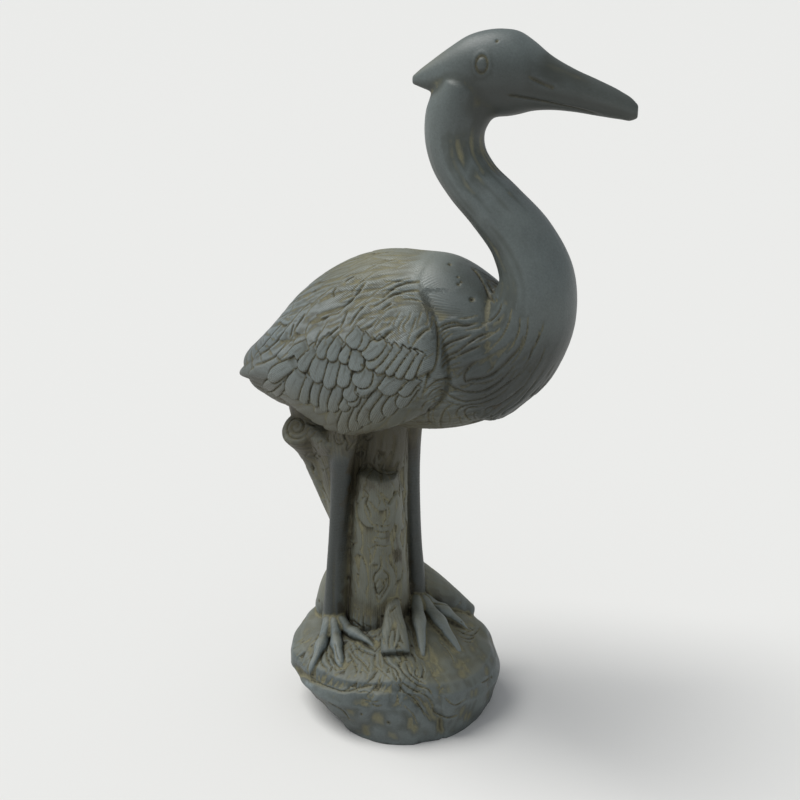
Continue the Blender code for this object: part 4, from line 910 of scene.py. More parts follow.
# Feathers on the wing: root, tip and width, in places of the picture; the upper rows come last
FEATHERS = (
    (329.3, 409.6, 315.3, 427.5, 12.1), (342, 403.3, 328, 428.1, 12.8),
    (353.5, 400.7, 342, 430.1, 12.8), (365, 395.6, 353.5, 428.8, 12.1),
    (377.8, 391.8, 363.1, 423.7, 12.8), (390.5, 391.8, 375.2, 421.1, 12.1),
    (402, 390.5, 386.7, 414.7, 10.8), (414.7, 386.7, 399.4, 405.8, 10.2),
    (316.5, 410.9, 303.8, 421.1, 10.2), (297.4, 393.1, 286.6, 411.6, 16.6),
    (291, 386.7, 280.8, 402.6, 9.6), (284.6, 381.6, 273.8, 395, 8.9), (282.1, 375.2, 267.4, 388.6, 9.6),
    (309.5, 379, 304.4, 402, 12.1), (319.7, 384.1, 315.3, 403.9, 10.2),
    (329.3, 386.7, 323.5, 409, 10.8), (340.8, 386.7, 331.2, 409.6, 10.8),
    (349.7, 396.9, 342, 408.4, 8.9), (299.9, 373.9, 294.2, 397.5, 16.6),
    (358.6, 391.8, 351, 404.5, 8.9), (356.1, 377.8, 347.8, 398.8, 13.4),
    (368.8, 382.9, 359.9, 395, 11.5), (414.7, 379, 401.4, 393.7, 12.8),
    (398.2, 375.2, 384.1, 392.4, 19.1), (379, 371.4, 361.2, 393.7, 13.4),
    (366.3, 365, 359.3, 386, 17.2), (348.4, 361.2, 340.8, 385.4, 13.4),
    (338.2, 358.6, 326.7, 386, 13.4), (326.7, 353.5, 314, 379, 16.6),
    (315.3, 349.7, 301.2, 369.5, 12.8), (306.3, 345.9, 290.4, 361.4, 12.8),
    (331.2, 339.5, 319.1, 356.3, 11.5), (340.8, 342, 329.3, 358.6, 12.1),
    (352.2, 345.9, 341.4, 361.2, 11.7), (358, 351, 354.8, 370.6, 15.1),
    (418.6, 354.8, 407.1, 378.4, 12.1), (412.2, 353.5, 398.2, 377.1, 10.2),
    (403.9, 351, 389.2, 375.2, 10.2), (395, 348.4, 378.4, 373.3, 11.5),
    (386.7, 345.9, 370.1, 368.8, 12.1), (380.9, 340.8, 366.3, 358.4, 14.3),
    (367.6, 336.9, 358.6, 349.7, 10.2), (359.9, 331.8, 349.7, 345.6, 14.7),
    (270.6, 362.4, 252.8, 382.9, 19.1), (293.6, 362.4, 271.9, 380.3, 12.1),
)
# Deep cuts between the locks of the bird, as places of the picture
DEEP_STROKES = (
    ((355.4, 276.7), (349.7, 279.8), (345.2, 282.3)), ((337.6, 288.5), (334.4, 291.7), (333.4, 296.1)),
    ((367.6, 282.1), (359.9, 291), (352.2, 301.2), (344.6, 307.6), (334.4, 312.7), (326.1, 314)),
    ((347.1, 306.3), (340.8, 312.7), (329.3, 316.5), (322.9, 321.6)),
    ((368.8, 303.1), (359.9, 311.4), (355.4, 317.2), (349.7, 326.7)),
    ((348.4, 311.4), (344.6, 320.4), (340.8, 328.6)), ((321.9, 331.2), (318.1, 339.5), (314.6, 348.4)),
    ((340.1, 326.7), (333.1, 333.1), (326.1, 340.1)), ((295.5, 324.2), (292.9, 331.2), (291, 338.2)),
    ((392.4, 303.8), (386.7, 307), (381.6, 310.8)),
    ((418.6, 291), (404.5, 292.3), (393.1, 296.1), (380.3, 303.8), (370.1, 308.9)),
    ((420, 282.1), (404.5, 284), (391.8, 290.4), (381.6, 299.3)),
    ((306.3, 314), (299.9, 322.9), (294.8, 333.1)), ((316.5, 290.4), (311.4, 294.8), (308.9, 298)),
    ((283.4, 322.9), (274.4, 334.4), (265.5, 344.6), (259.1, 352.2), (255.9, 356.7)),
    ((291, 324.2), (279.5, 339.5), (269.3, 349.7), (260.4, 356.1)),
    ((288.5, 342), (278.3, 354.8), (268.1, 361.2), (256.6, 365.6)),
    ((371.9, 335.7), (377, 340.8), (383.4, 337.6), (389.1, 332.5), (393.6, 331.2)),
    ((416.5, 338.9), (422.9, 331.8), (429.3, 328)), ((484.1, 283.4), (488.6, 294.8), (495, 302.5)),
    ((486.7, 282.1), (493.1, 291), (497.5, 301.2)),
    ((470.7, 267.4), (476.5, 272.5), (481.6, 279.5), (484.1, 284.6)),
    ((432.6, 315.4), (436.8, 325.3), (438.1, 336.5), (437.8, 347.7), (436.8, 357.5), (434, 367.3),
     (428.4, 376.5), (424.9, 387), (422.1, 398.2)),
    ((440.3, 349.1), (447.3, 343.5), (458.6, 339), (471.2, 334.4)),
    ((438.9, 363.1), (447.3, 356.1), (458.6, 350.5), (469.8, 342.1), (481, 335.1), (493.7, 331.6)),
    ((456.5, 356.1), (467, 350.8), (481, 344.9)), ((440.3, 367.3), (450.2, 358.9), (457.2, 356.1)),
    ((437.5, 329.5), (443.1, 325.3), (453, 322.4), (464.2, 323.2)),
    ((438.2, 334.4), (444.5, 328.8), (455.8, 325.3), (467, 325), (478.2, 322.4)),
    ((478.2, 360.3), (469.8, 367.3), (464.6, 377.2), (465.9, 381.4), (470.5, 379.3), (478.2, 378.6),
     (490.8, 374.4), (500.7, 367.3), (510.5, 357.5), (520.3, 346.3), (523.8, 335.1)),
    ((447.3, 382.8), (455.8, 388.1), (469.8, 391.5), (483.8, 389.8), (495.1, 384.2), (506.3, 374.4),
     (514.7, 364.5)),
    ((443.8, 390.5), (453, 396.8), (464.2, 400.5), (478.2, 399.6), (492.2, 394), (506.3, 384.2),
     (520.3, 373), (531.5, 360.3)),
    ((423.5, 391.9), (428.4, 385.6), (436.1, 380), (447.3, 377.9), (453, 378.6)),
    ((425.6, 396.8), (431.9, 389.8), (441.7, 385.6)),
    ((420.7, 408), (426.3, 401), (436.1, 396.8), (444.5, 393.3)),
    ((440.3, 426.3), (441.2, 416.5), (445.9, 408), (454.4, 403.1)),
    ((456.5, 426.3), (455.8, 416.5), (457.5, 409.4), (465.6, 405.2), (478.2, 403.8), (492.2, 398.9),
     (506.3, 389.8)), ((469.8, 419.3), (464.2, 413.7), (465.9, 408.7), (475.4, 406.6), (486.6, 403.8)),
    ((484.5, 419.3), (483.1, 414.4), (485.9, 408.7), (496.5, 404.5), (510.5, 396.8), (523.1, 385.6)),
    ((499.3, 416.5), (503.5, 410.8), (514.7, 403.8), (527.3, 391.2), (537.1, 378.6)),
    ((429.1, 423.5), (428.4, 412.2), (431.2, 405.2), (440.3, 400.3)),
    ((502.1, 302.8), (499.3, 311.2), (492.2, 319.6), (481, 324.6)),
)
# Shallow cuts on the bird
FINE_STROKES = (
    ((349.7, 263), (334.4, 270.6), (321.6, 279.5), (311.4, 288.5), (301.2, 296.1)),
    ((359.9, 259.1), (342, 265.5), (322.9, 277), (308.9, 287.2)),
    ((299.9, 296.1), (294.8, 303.8), (293.6, 311.4)), ((311.4, 302.5), (301.2, 311.4), (296.1, 319.1)),
    ((319.1, 301.2), (311.4, 308.9), (306.3, 316.5)), ((334.4, 287.2), (322.9, 296.1), (314, 302.5)),
    ((380.3, 255.3), (365, 260.4), (349.7, 268.1)), ((399.4, 259.1), (380.3, 264.2), (365, 271.9)),
    ((375.2, 273.2), (362.4, 282.1), (352.2, 291), (342, 297.4)),
    ((410.9, 278.3), (393.1, 283.4), (375.2, 293.6), (362.4, 306.3)),
    ((297.4, 303.8), (285.9, 319.1), (275.7, 331.8)), ((303.8, 308.9), (291, 324.2), (282.1, 336.9)),
    ((296.1, 334.4), (285.9, 347.1), (274.4, 358.6)), ((298.7, 340.8), (289.7, 352.2), (278.3, 362.4)),
    ((365, 316.5), (358.6, 321.6), (352.2, 329.3)), ((380.3, 316.5), (375.2, 322.9), (367.6, 329.3)),
    ((358.6, 293.6), (348.4, 303.8), (336.9, 311.4)), ((311.4, 321.6), (307.6, 329.3), (306.3, 336.9)),
    ((329.3, 321.6), (324.2, 329.3), (321.6, 336.9)), ((394.8, 317.8), (391, 322.9), (388.5, 328)),
    ((401.2, 311.4), (396.1, 319.1), (393.6, 326.7)),
    ((406.3, 316.5), (401.2, 322.9), (398.7, 329.3), (399.9, 334.4)),
    ((411.4, 311.4), (408.9, 319.1), (403.8, 326.7), (406.3, 333.1)),
    ((416.5, 316.5), (414, 324.2), (411.4, 331.8)), ((421.6, 311.4), (419.1, 319.1), (416.5, 326.7)),
    ((388.5, 311.4), (382.1, 316.5), (378.3, 322.9)), ((394.8, 306.3), (385.9, 311.4), (378.3, 317.8)),
    ((384.6, 317.8), (378.3, 324.2), (374.4, 329.3)), ((426.7, 311.4), (428, 319.1), (425.5, 326.7)),
    ((431.8, 316.5), (431.8, 324.2), (428, 331.8)), ((411.4, 334.4), (408.9, 339.5), (410.2, 344.6)),
    ((421.6, 336.9), (416.5, 340.8), (412.7, 347.1)), ((393.6, 294.8), (403.8, 294.2), (415.3, 296.1)),
    ((401.2, 299.9), (411.4, 299.3), (421.6, 301.2)), ((384.6, 282.1), (398.7, 281.5), (412.7, 282.1)),
    ((378.3, 292.3), (391, 289.7), (403.8, 291)), ((438.2, 340.7), (443.1, 334.4), (450.2, 330.2)),
    ((439.2, 345.6), (445.2, 338.2), (453, 333)),
    ((439.6, 358.9), (443.1, 352.2), (450.2, 347.7), (458.6, 342.1)),
    ((443.1, 371.6), (453, 364.8), (464.2, 360.3)),
    ((467, 383.1), (481, 382.8), (495.1, 378.6), (506.3, 370.2)),
    ((455.8, 378.6), (464.2, 370.2), (472.6, 361.7)), ((450.2, 387), (458.6, 391.2), (467, 393.3)),
    ((544.2, 321), (541.4, 332.3), (537.1, 342.1), (531.5, 353.3), (527.3, 365.9)),
    ((540, 328.8), (538.8, 336.5), (535, 344.9)),
    ((520.3, 316.8), (518.9, 330.9), (514.7, 342.1), (506.3, 353.3)),
    ((528.7, 314), (527.3, 330.9), (523.1, 346.3), (514.7, 360.3), (503.5, 370.2)),
    ((511.9, 308.4), (509.1, 322.4), (502.1, 336.5), (492.2, 347.7), (481, 356.1)),
    ((478.2, 315.4), (467, 318.2), (455.8, 319.6)), ((489.4, 323.9), (478.2, 328.1), (464.2, 330.9)),
    ((500.7, 328.1), (489.4, 336.5), (478.2, 342.1), (467, 347.7)),
    ((444.5, 398.2), (453, 403.1), (464.2, 404.5)), ((447.3, 408), (450.2, 416.5), (448.8, 423.5)),
    ((434.7, 406.6), (433.3, 415.1), (435.4, 422.1)), ((462.8, 410.8), (460, 416.5), (462.8, 423.5)),
    ((476.8, 409.4), (474, 414.4), (476.8, 419.3)), ((492.2, 410.8), (490.8, 415.1), (492.2, 419.3)),
    ((458.6, 406.6), (469.8, 403.1), (483.8, 400.3), (497.9, 394)),
    ((534.3, 342.1), (528.7, 358.9), (518.9, 373), (506.3, 385.6)),
    ((545.6, 346.3), (540, 361.7), (531.5, 374.4), (520.3, 389.8)),
    ((426.3, 389.8), (433.3, 384.2), (443.1, 382.1)),
)
# Deep cuts in the bark and the rock
STAND_DEEP_STROKES = (
   
    ((336.9, 431), (334.4, 437.4), (336.9, 443.8), (342, 443.8), (344, 437.4), (340.8, 433.6),
     (338.2, 437.4)),
    ((347.1, 431), (344.6, 437.4), (348.4, 443.8), (347.1, 450.2), (351, 446.3), (354.8, 441.2),
     (352.2, 433.6)), ((358.6, 431), (354.8, 436.1), (358.6, 442.5), (363.7, 436.1), (371.4, 432.3)),
    ((362.4, 437.4), (367.6, 439.9), (372.7, 434.8)), ((390.5, 418.3), (393.1, 424.6), (400.7, 422.1)),
    ((400.7, 415.7), (405.8, 422.1), (413.5, 420.8)), ((329.3, 431), (328, 437.4), (329.3, 442.5)),
    ((316.5, 425.9), (311.4, 424.6), (306.3, 422.1)),
    ((381.2, 554.7), (380.6, 567.9), (374.6, 575.9), (375.3, 586.9), (378.6, 603.1)),
    ((381.5, 567.9), (388.3, 575.2), (388.8, 584), (382.7, 595.7), (378.9, 603.1)),
    ((380, 577.8), (375.6, 585.8), (378.6, 594), (383.9, 586.9), (380.3, 577.8)),
    ((363.1, 488.4), (368.8, 494.8), (366.3, 503.7), (370.1, 512.7), (371.4, 517.8)),
    ((396.2, 491.6), (392.4, 497.3), (388, 503.7), (382.9, 497.3)),
    ((367.6, 461.6), (375.2, 469.3), (384.1, 473.8), (393.1, 473.1), (398.2, 468)),
    ((312.7, 461.6), (313.3, 469.3), (314.6, 474.4)), ((317.8, 451.4), (315.3, 456.5), (320.4, 459.1)),
    ((379, 448.9), (378.4, 456.5), (380.3, 461.6)),
    ((296.1, 423.4), (292.3, 427.2), (294.8, 432.3), (301.2, 431), (303.8, 424.6), (299.9, 419.5),
     (292.3, 419.5), (287.8, 425.9), (289.1, 434.8), (297.4, 438.7), (306.3, 434.8), (308.9, 427.2)),
    ((305.1, 437.4), (311.4, 436.1), (316.5, 431)), ((316.5, 443.8), (321.6, 441.2), (319.1, 448.9)),
    ((328.4, 642.7), (327.2, 654.4), (331.3, 666.2), (339.4, 672.8)),
    ((331.3, 633.9), (330.2, 648.6), (334.6, 661.8), (342.3, 670.6)),
    ((324, 651.5), (321.4, 661.8), (326.9, 669.8)), ((334.3, 642.7), (337.9, 657.4), (342.3, 664.7)),
    ((350.4, 642.7), (354.1, 654.4), (362.1, 661.8), (368, 668.4), (370.9, 677.2)),
    ((354.1, 642), (359.9, 649.3), (369.5, 654.4), (375.3, 656.6), (373.9, 662.5)),
    ((362.1, 642.7), (371.7, 648.3), (376.8, 652.2)), ((348.9, 651.5), (354.8, 663.2), (357.7, 672)),
    ((381.2, 642.7), (387.1, 663.2), (397.4, 672), (400.6, 680.1), (412, 688.2), (424.5, 694.3),
     (432.9, 704.3), (434.3, 714.6)),
    ((397.4, 661.8), (404.7, 675), (416.4, 683.8), (428.2, 689.6), (434.3, 699.2)),
    ((406.2, 663.2), (411.3, 675), (419.4, 680.8), (428.5, 686.7)),
    ((416.4, 669.1), (415.7, 675), (420.8, 678.6)),
    ((391.5, 666.2), (395.9, 679.4), (404.7, 691.1), (416.4, 701.4), (424.5, 713.1), (432.6, 722.6)),
    ((434.3, 704.3), (435.8, 713.8), (442.8, 716.8), (457.5, 714.6)),
    ((481, 682.6), (489.8, 678.6), (498.6, 675)),
    ((373.9, 684.5), (359.2, 687.4), (344.5, 691.8), (328.4, 688.2), (307.9, 680.8)),
    ((328.4, 701.4), (341.6, 708.7), (350.4, 720.4)),
    ((426.7, 598.7), (435.5, 603.1), (445.8, 604.5), (461.9, 601.6)),
    ((456, 628), (469.2, 635.1), (480.2, 628)), ((458.2, 635.3), (467.8, 639), (475.1, 636.1)),
    ((375.3, 622.1), (382.7, 633.9), (385.6, 645.6)), ((381.2, 617.7), (391.5, 610.4), (401.8, 598.7)),
    ((342.3, 614.1), (356.3, 622.1), (375.3, 641.2)),
)
# Shallow cuts in the bark and the rock
STAND_FINE_STROKES = (
    ((356.3, 692.6), (365.1, 691.1), (373.9, 695.5)), ((362.1, 699.9), (373.9, 701.4), (382.7, 698.4)),
    ((370.9, 702.8), (376.8, 705.8), (382.7, 704.3)), ((409.1, 698.4), (420.8, 708.7), (426.7, 720.4)),
    ((403.2, 704.3), (412, 713.1), (417.9, 724.8)), ((463.4, 622.1), (470.7, 628), (476.6, 633.9)),
    ((373.9, 664.7), (382.7, 672), (391.5, 680.8), (401.8, 689.6)),
    ((409.1, 692.6), (419.4, 698.4), (428.2, 708.7)), ((362.1, 669.1), (368, 675), (366.5, 680.8)),
    ((438.4, 639.8), (448.7, 651.5), (454.6, 663.2)), ((444.3, 697), (453.1, 704.3), (466.3, 698.4)),
    ((461.9, 641.2), (469.2, 642.7), (473.6, 639.8)), ((460.4, 633.9), (469.2, 630.9), (476.6, 628)),
    ((376.5, 492.2), (380.3, 499.9), (377.8, 507.6)), ((385.4, 502.4), (389.2, 512.7), (386.7, 520.3)),
    ((359.9, 476.9), (367.6, 482), (362.4, 489.7)), ((352.2, 520.3), (356.1, 528), (354.8, 539.4)),
    ((373.9, 530.5), (381.6, 531.8), (389.2, 530.5)), ((373.9, 536.9), (382.9, 538.2), (390.5, 536.2)),
    ((375.2, 544.5), (384.1, 545.8), (391.8, 543.9)), ((368.8, 549.6), (375.2, 545.8), (381.6, 544.5)),
    ((373.9, 524.1), (381.6, 526), (390.5, 524.1)), ((321.6, 468), (325.5, 469.3), (329.3, 466.7)),
    ((308.9, 451.4), (306.3, 456.5), (311.4, 459.1)), ((352.2, 544.5), (354.8, 542), (353.5, 538.2)),
    ((350.4, 548.8), (353.3, 544.4), (359.2, 541.5)), ((348.9, 589.9), (350.4, 598.7), (348.9, 607.5)),
    ((353.3, 607.5), (359.2, 608.9), (356.3, 604.5)), ((362.1, 622.1), (368, 625.1), (373.9, 628)),
    ((401.8, 548.8), (395.9, 560.5), (394.4, 575.2)), ((368, 545.9), (370.9, 557.6), (369.5, 566.4)),
)
# Air holes of the casting: place and radius in millimetres
AIR_HOLES = (
    (449.7, 264.2, 2.2), (472, 299.3, 3), (458.6, 284, 2), (458, 277, 1.6), (461.2, 282.1, 1.4),
    (428.4, 375.8, 3.2), (429.1, 422.8, 2.4), (441, 427, 3), (363.7, 365, 2), (333.8, 296.1, 1.8),
    (380.9, 455.3, 5), (394.3, 492.9, 3), (352.9, 543.3, 2.2), (313.3, 468, 3.5), (319.7, 456.5, 2.2),
    (323.5, 469.9, 2), (388.6, 722.6, 2.2), (361.4, 714.6, 1.6), (352.6, 544.4, 2.2),
    (349.7, 548.1, 1.8), (318.9, 600.9, 2), (492, 677.2, 1.8), (461.9, 621.4, 1.6), (382.7, 616.3, 1.8),
    (497, 41, 1.7),
)
# The line of the mouth and the slit of the nostril, as places of the picture
MOUTH_STROKE = ((505, 95), (515, 96.5), (530, 99), (545, 102), (560, 105.5), (572, 108), (585, 111),
                (597, 114.5))
NOSTRIL_STROKE = ((528, 76), (537, 81), (547, 86))

# The camera stands where the picture was taken from; traced strokes are cast from it onto the form
CAMERA_PLACE = np.array([0.8, -1.3856, 0.98])
CAMERA_HEADING = math.radians(119.951)
CAMERA_DROP = math.radians(19.267)
PICTURE_FOCAL = 1339.0
PICTURE_SIZE = 800

# How much of the solid's own rows stays under the traced plumage
ROW_SHARE = 0.45
BREAST_SHARE = 0.40

# Depth of the faint ridges down the neck
NECK_RIDGE_DEPTH = 0.00012

# The scales round the legs
LEG_RING_SPACING = 0.0041
LEG_RING_DEPTH = 0.00045

# Spread of the traced feathers against their drawn width, and how far they stand out
FEATHER_SPREAD = 1.28
FEATHER_RISE = 0.0050

# Traced cuts: depth, width, and how proud the stone beside them stands
FINE_CUT = (0.0011, 0.0012, 0.0006)
DEEP_CUT = (0.0030, 0.0019, 0.0016)
STAND_FINE_CUT = (0.0010, 0.0012, 0.0006)
STAND_DEEP_CUT = (0.0023, 0.0018, 0.0012)

# Grids of the two pieces, and the faces that each keeps
BIRD_GRID = 0.00145
STAND_GRID = 0.00140
BIRD_FACES = 193000
STAND_FACES = 180000


def sight_axes():
    """The camera's forward, right and up directions."""
    c, s = math.cos(CAMERA_HEADING), math.sin(CAMERA_HEADING)
    ahead = np.array([c * math.cos(CAMERA_DROP), s * math.cos(CAMERA_DROP), -math.sin(CAMERA_DROP)])
    right = np.array([s, -c, 0.0])
    return ahead, right, np.cross(right, ahead)


def surface_tree(obj):
    corners = [vertex.co for vertex in obj.data.vertices]
    return BVHTree.FromPolygons(corners, [face.vertices[:] for face in obj.data.polygons])


def cast(tree, px, py):
    """The point and normal where the line of sight through a place of the picture meets the form."""
    ahead, right, up = sight_axes()
    half = PICTURE_SIZE / 2
    line = ahead + right * (px - half) / PICTURE_FOCAL + up * (half - py) / PICTURE_FOCAL
    spot, normal, _, _ = tree.ray_cast(Vector(CAMERA_PLACE), Vector(line / np.linalg.norm(line)))
    if spot is None:
        return None
    return np.array(spot), np.array(normal)


def metres_at(spot):
    """Metres that one picture place covers at the distance of a point."""
    return (spot - CAMERA_PLACE) @ sight_axes()[0] / PICTURE_FOCAL


def trace(tree, places):
    """A stroke cast onto the form: its points and their mean normal."""
    found = [hit for hit in (cast(tree, px, py) for px, py in places) if hit is not None]
    if len(found) < 2:
        return None
    line = np.array([spot for spot, _ in found])
    jump = np.linalg.norm(np.diff(line, axis=0), axis=1)
    if jump.max() > 0.09:
        return None
    normal = np.mean([n for _, n in found], axis=0)
    return line, normal / np.linalg.norm(normal)


def densify(line, step=0.003):
    run = np.concatenate([[0.0], np.cumsum(np.linalg.norm(np.diff(line, axis=0), axis=1))])
    at = np.linspace(0.0, run[-1], max(3, int(run[-1] / step) + 2))
    return smooth_curve(run, line, at)


def cut(points, normals, depth, line, normal, deep, wide, proud, reach=0.006):
    """Adds one tapered cut to the depths, with the stone on its left side left a little proud."""
    line = densify(line)
    margin = 3 * reach
    low, high = line.min(0) - margin, line.max(0) + margin
    near = np.nonzero(np.all((points > low) & (points < high), axis=1) & (normals @ normal > -0.2))[0]
    if len(near) == 0:
        return
    spots = points[near]
    best = np.full(len(near), 9.0)
    share = np.zeros(len(near))
    side = np.zeros(len(near))
    count = len(line) - 1
    for k in range(count):
        a, b = line[k], line[k + 1]
        ab = b - a
        t = np.clip(((spots - a) @ ab) / (ab @ ab), 0, 1)
        gap = spots - a - t[:, None] * ab
        distance = np.linalg.norm(gap, axis=1)
        closer = distance < best
        best[closer] = distance[closer]
        share[closer] = ((k + t) / count)[closer]
        left = np.cross(normal, ab / np.linalg.norm(ab))
        side[closer] = (gap @ left)[closer]
    taper = np.clip(np.minimum(share / 0.22, (1 - share) / 0.30), 0, 1) ** 0.6
    taper = taper * (0.84 + 0.16 * blob_noise(spots, 210.0, 6.0))
    groove = -deep * np.exp(-(best / wide) ** 2)
    raised = np.exp(-(best / reach) ** 2)
    lower = 0.25 * np.exp(-(best / (0.5 * reach)) ** 2)
    lift = proud * np.where(side > 0, raised, lower)
    depth[near] += (groove + lift) * taper


def lay_feather(points, normals, depth, strand, spot, normal, tip, width, lift):
    """One round-ended feather, laid over those before it, with a narrow cut round its edge."""
    ahead = tip - spot
    ahead -= (ahead @ normal) * normal
    length = np.linalg.norm(ahead)
    ahead /= length
    across = np.cross(normal, ahead)
    middle = spot + ahead * length * 0.5
    offset = points - middle
    near = np.nonzero((np.abs(offset @ ahead) < length) & (np.abs(offset @ across) < width)
                      & (np.abs(offset @ normal) < 0.035) & (normals @ normal > 0.1))[0]
    if len(near) == 0:
        return
    offset = points[near] - spot
    t = (offset @ ahead) / length
    aside = offset @ across
    sway = 0.10 * width * np.sin(3.0 * t + 40 * spot[0])
    aside = aside - sway
    full = 0.5 * width * (0.80 + 0.20 * np.clip(t / 0.5, 0, 1))
    end = np.clip((t - 0.62) / 0.38, 0, 1)
    half = full * np.sqrt(np.clip(1 - end ** 2.4, 0, 1))
    edge = np.minimum(half - np.abs(aside), (1 - t) * length * 1.2)
    edge = np.minimum(edge, (t + 0.15) * length)
    inside = edge > 0
    crown = 1 - 0.22 * (aside / np.maximum(full, 1e-6)) ** 2
    height = lift * (0.42 + 0.58 * np.clip(t, 0, 1)) * crown * ramp(edge, -0.0004, 0.0013)
    height -= 0.0002 * np.exp(-(aside / 0.0009) ** 2) * ramp(t, 0.05, 0.3)
    depth[near] = np.where(inside, height, depth[near])
    rim = (~inside) & (edge > -0.0022) & (t > 0.12)
    depth[near] -= np.where(rim, 0.0011 * np.exp(-((edge + 0.0006) / 0.0009) ** 2), 0.0)
    strand[near] = np.where(inside, aside / (0.55 + 0.5 * np.clip(t, 0, 1.2)), strand[near])


def mirrored(line, normal, middle, across):
    """The same stroke on the other side of an upright plane."""
    out = (line - middle) @ across
    return (line - 2 * out[:, None] * across)[::-1], normal - 2 * (normal @ across) * across


def traced_feathers(tree, points, normals, depth, strand):
    for x0, y0, x1, y1, wide in FEATHERS:
        root, tip = cast(tree, x0, y0), cast(tree, x1, y1)
        if root is None or tip is None:
            continue
        width = FEATHER_SPREAD * wide * metres_at(root[0])
        normal = root[1] + tip[1]
        normal /= np.linalg.norm(normal)
        flip = np.array([1.0, -1.0, 1.0])
        for mirror in (np.ones(3), flip):
            lay_feather(points, normals, depth, strand, root[0] * mirror, normal * mirror,
                        tip[0] * mirror, width, FEATHER_RISE)


def traced_cuts(tree, points, normals, depth, strokes, deep, wide, proud, both_sides):
    for places in strokes:
        found = trace(tree, places)
        if found is None:
            continue
        line, normal = found
        cut(points, normals, depth, line, normal, deep, wide, proud)
        if both_sides and line[:, 1].max() < 0.01:
            other = mirrored(line, normal, np.zeros(3), np.array([0.0, 1.0, 0.0]))
            cut(points, normals, depth, *other, deep, wide, proud)


def traced_head(tree, points, normals, depth):
    """The mouth and the nostril, on both sides of the turned head."""
    heading = math.radians(HEAD_TURN)
    across = np.array([-math.sin(heading), math.cos(heading), 0.0])
    for places, deep, wide in ((MOUTH_STROKE, 0.0019, 0.0012), (NOSTRIL_STROKE, 0.0008, 0.0016)):
        line, normal = trace(tree, places)
        for stroke in ((line, normal), mirrored(line, normal, HEAD_ORIGIN, across)):
            cut(points, normals, depth, *stroke, deep, wide, 0.0005)


def air_holes(tree, points, depth):
    for px, py, radius in AIR_HOLES:
        hit = cast(tree, px, py)
        if hit is None:
            continue
        gap = np.linalg.norm(points - hit[0], axis=1) / (radius / 1000)
        depth -= 0.9 * radius / 1000 * np.exp(-gap ** 2 * 1.2)


def carve_bird(obj):
    points, normals = points_of(obj), normals_of(obj)
    tree = surface_tree(obj)
    from_axis = np.hypot(points[:, 1], points[:, 2] - BODY_AXIS_Z)
    off_axis = ramp(from_axis, 0.08 * BODY_DEPTH, 0.26 * BODY_DEPTH)
    depth = ROW_SHARE * carve_body(points) * off_axis + BREAST_SHARE * carve_breast(points)
    strand = body_threads(points)
    traced_feathers(tree, points, normals, depth, strand)
    traced_cuts(tree, points, normals, depth, FINE_STROKES, *FINE_CUT, True)
    traced_cuts(tree, points, normals, depth, DEEP_STROKES, *DEEP_CUT, True)
    traced_head(tree, points, normals, depth)
    air_holes(tree, points, depth)
    depth += 0.75 * carve_head(points) + neck_ridges(points)
    set_points(obj, points + normals * depth[:, None])
    return strand


def neck_ridges(points):
    """Faint long ridges down the smooth neck."""
    along, angle, away = spine_places(points, breast_route())
    q = angle * NECK_DIAMETER / 2
    level = ramp(along, 0.0, 0.25 * NECK_HEIGHT) * (1 - ramp(along, 0.85 * NECK_HEIGHT, 1.3 * NECK_HEIGHT))
    wave = np.sin(q * 420 + 3 * np.sin(along * 16) + 1.3)
    wave = wave + 0.6 * np.sin(q * 760 - 2.2 * np.sin(along * 23 + 1))
    return NECK_RIDGE_DEPTH * wave * level * (away < 0.08)


def body_threads(points):
    """A running measure across the threads of the plumage: round the body, and round the neck."""
    x, y, z = points.T
    round_radius = 0.46 * BODY_DEPTH
    around = np.arctan2(np.abs(y), z - BODY_AXIS_Z) * round_radius
    body = around + 0.55 * (WING_TIP_X * BODY_LENGTH + WING_LENGTH - x)
    along, angle, _ = spine_places(points, breast_route())
    breast = angle * BREAST_WIDTH / 2 + 0.45 * along
    behind = ramp(crease_place((z - BELLY_Z) / BODY_DEPTH) - x, -0.006, 0.004)
    return body * behind + breast * (1 - behind)


def leg_places(points):
    """For each point, the distance from the nearer leg's middle line in leg radii, and the level."""
    best = np.full(len(points), 99.0)
    level = (points[:, 2] - ANKLE_Z) / LEG_LENGTH
    for side in (-1, 1):
        foot = ankle(side)
        lean = np.interp(level, LEG_LEVELS, LEG_LEAN[side]) * LEG_LENGTH
        radius = np.interp(level, LEG_LEVELS, LEG_RADII) * LEG_DIAMETER / 2
        reach = np.hypot(points[:, 0] - foot[0] - lean, points[:, 1] - foot[1]) / radius
        best = np.minimum(best, reach)
    return best, points[:, 2] - ANKLE_Z


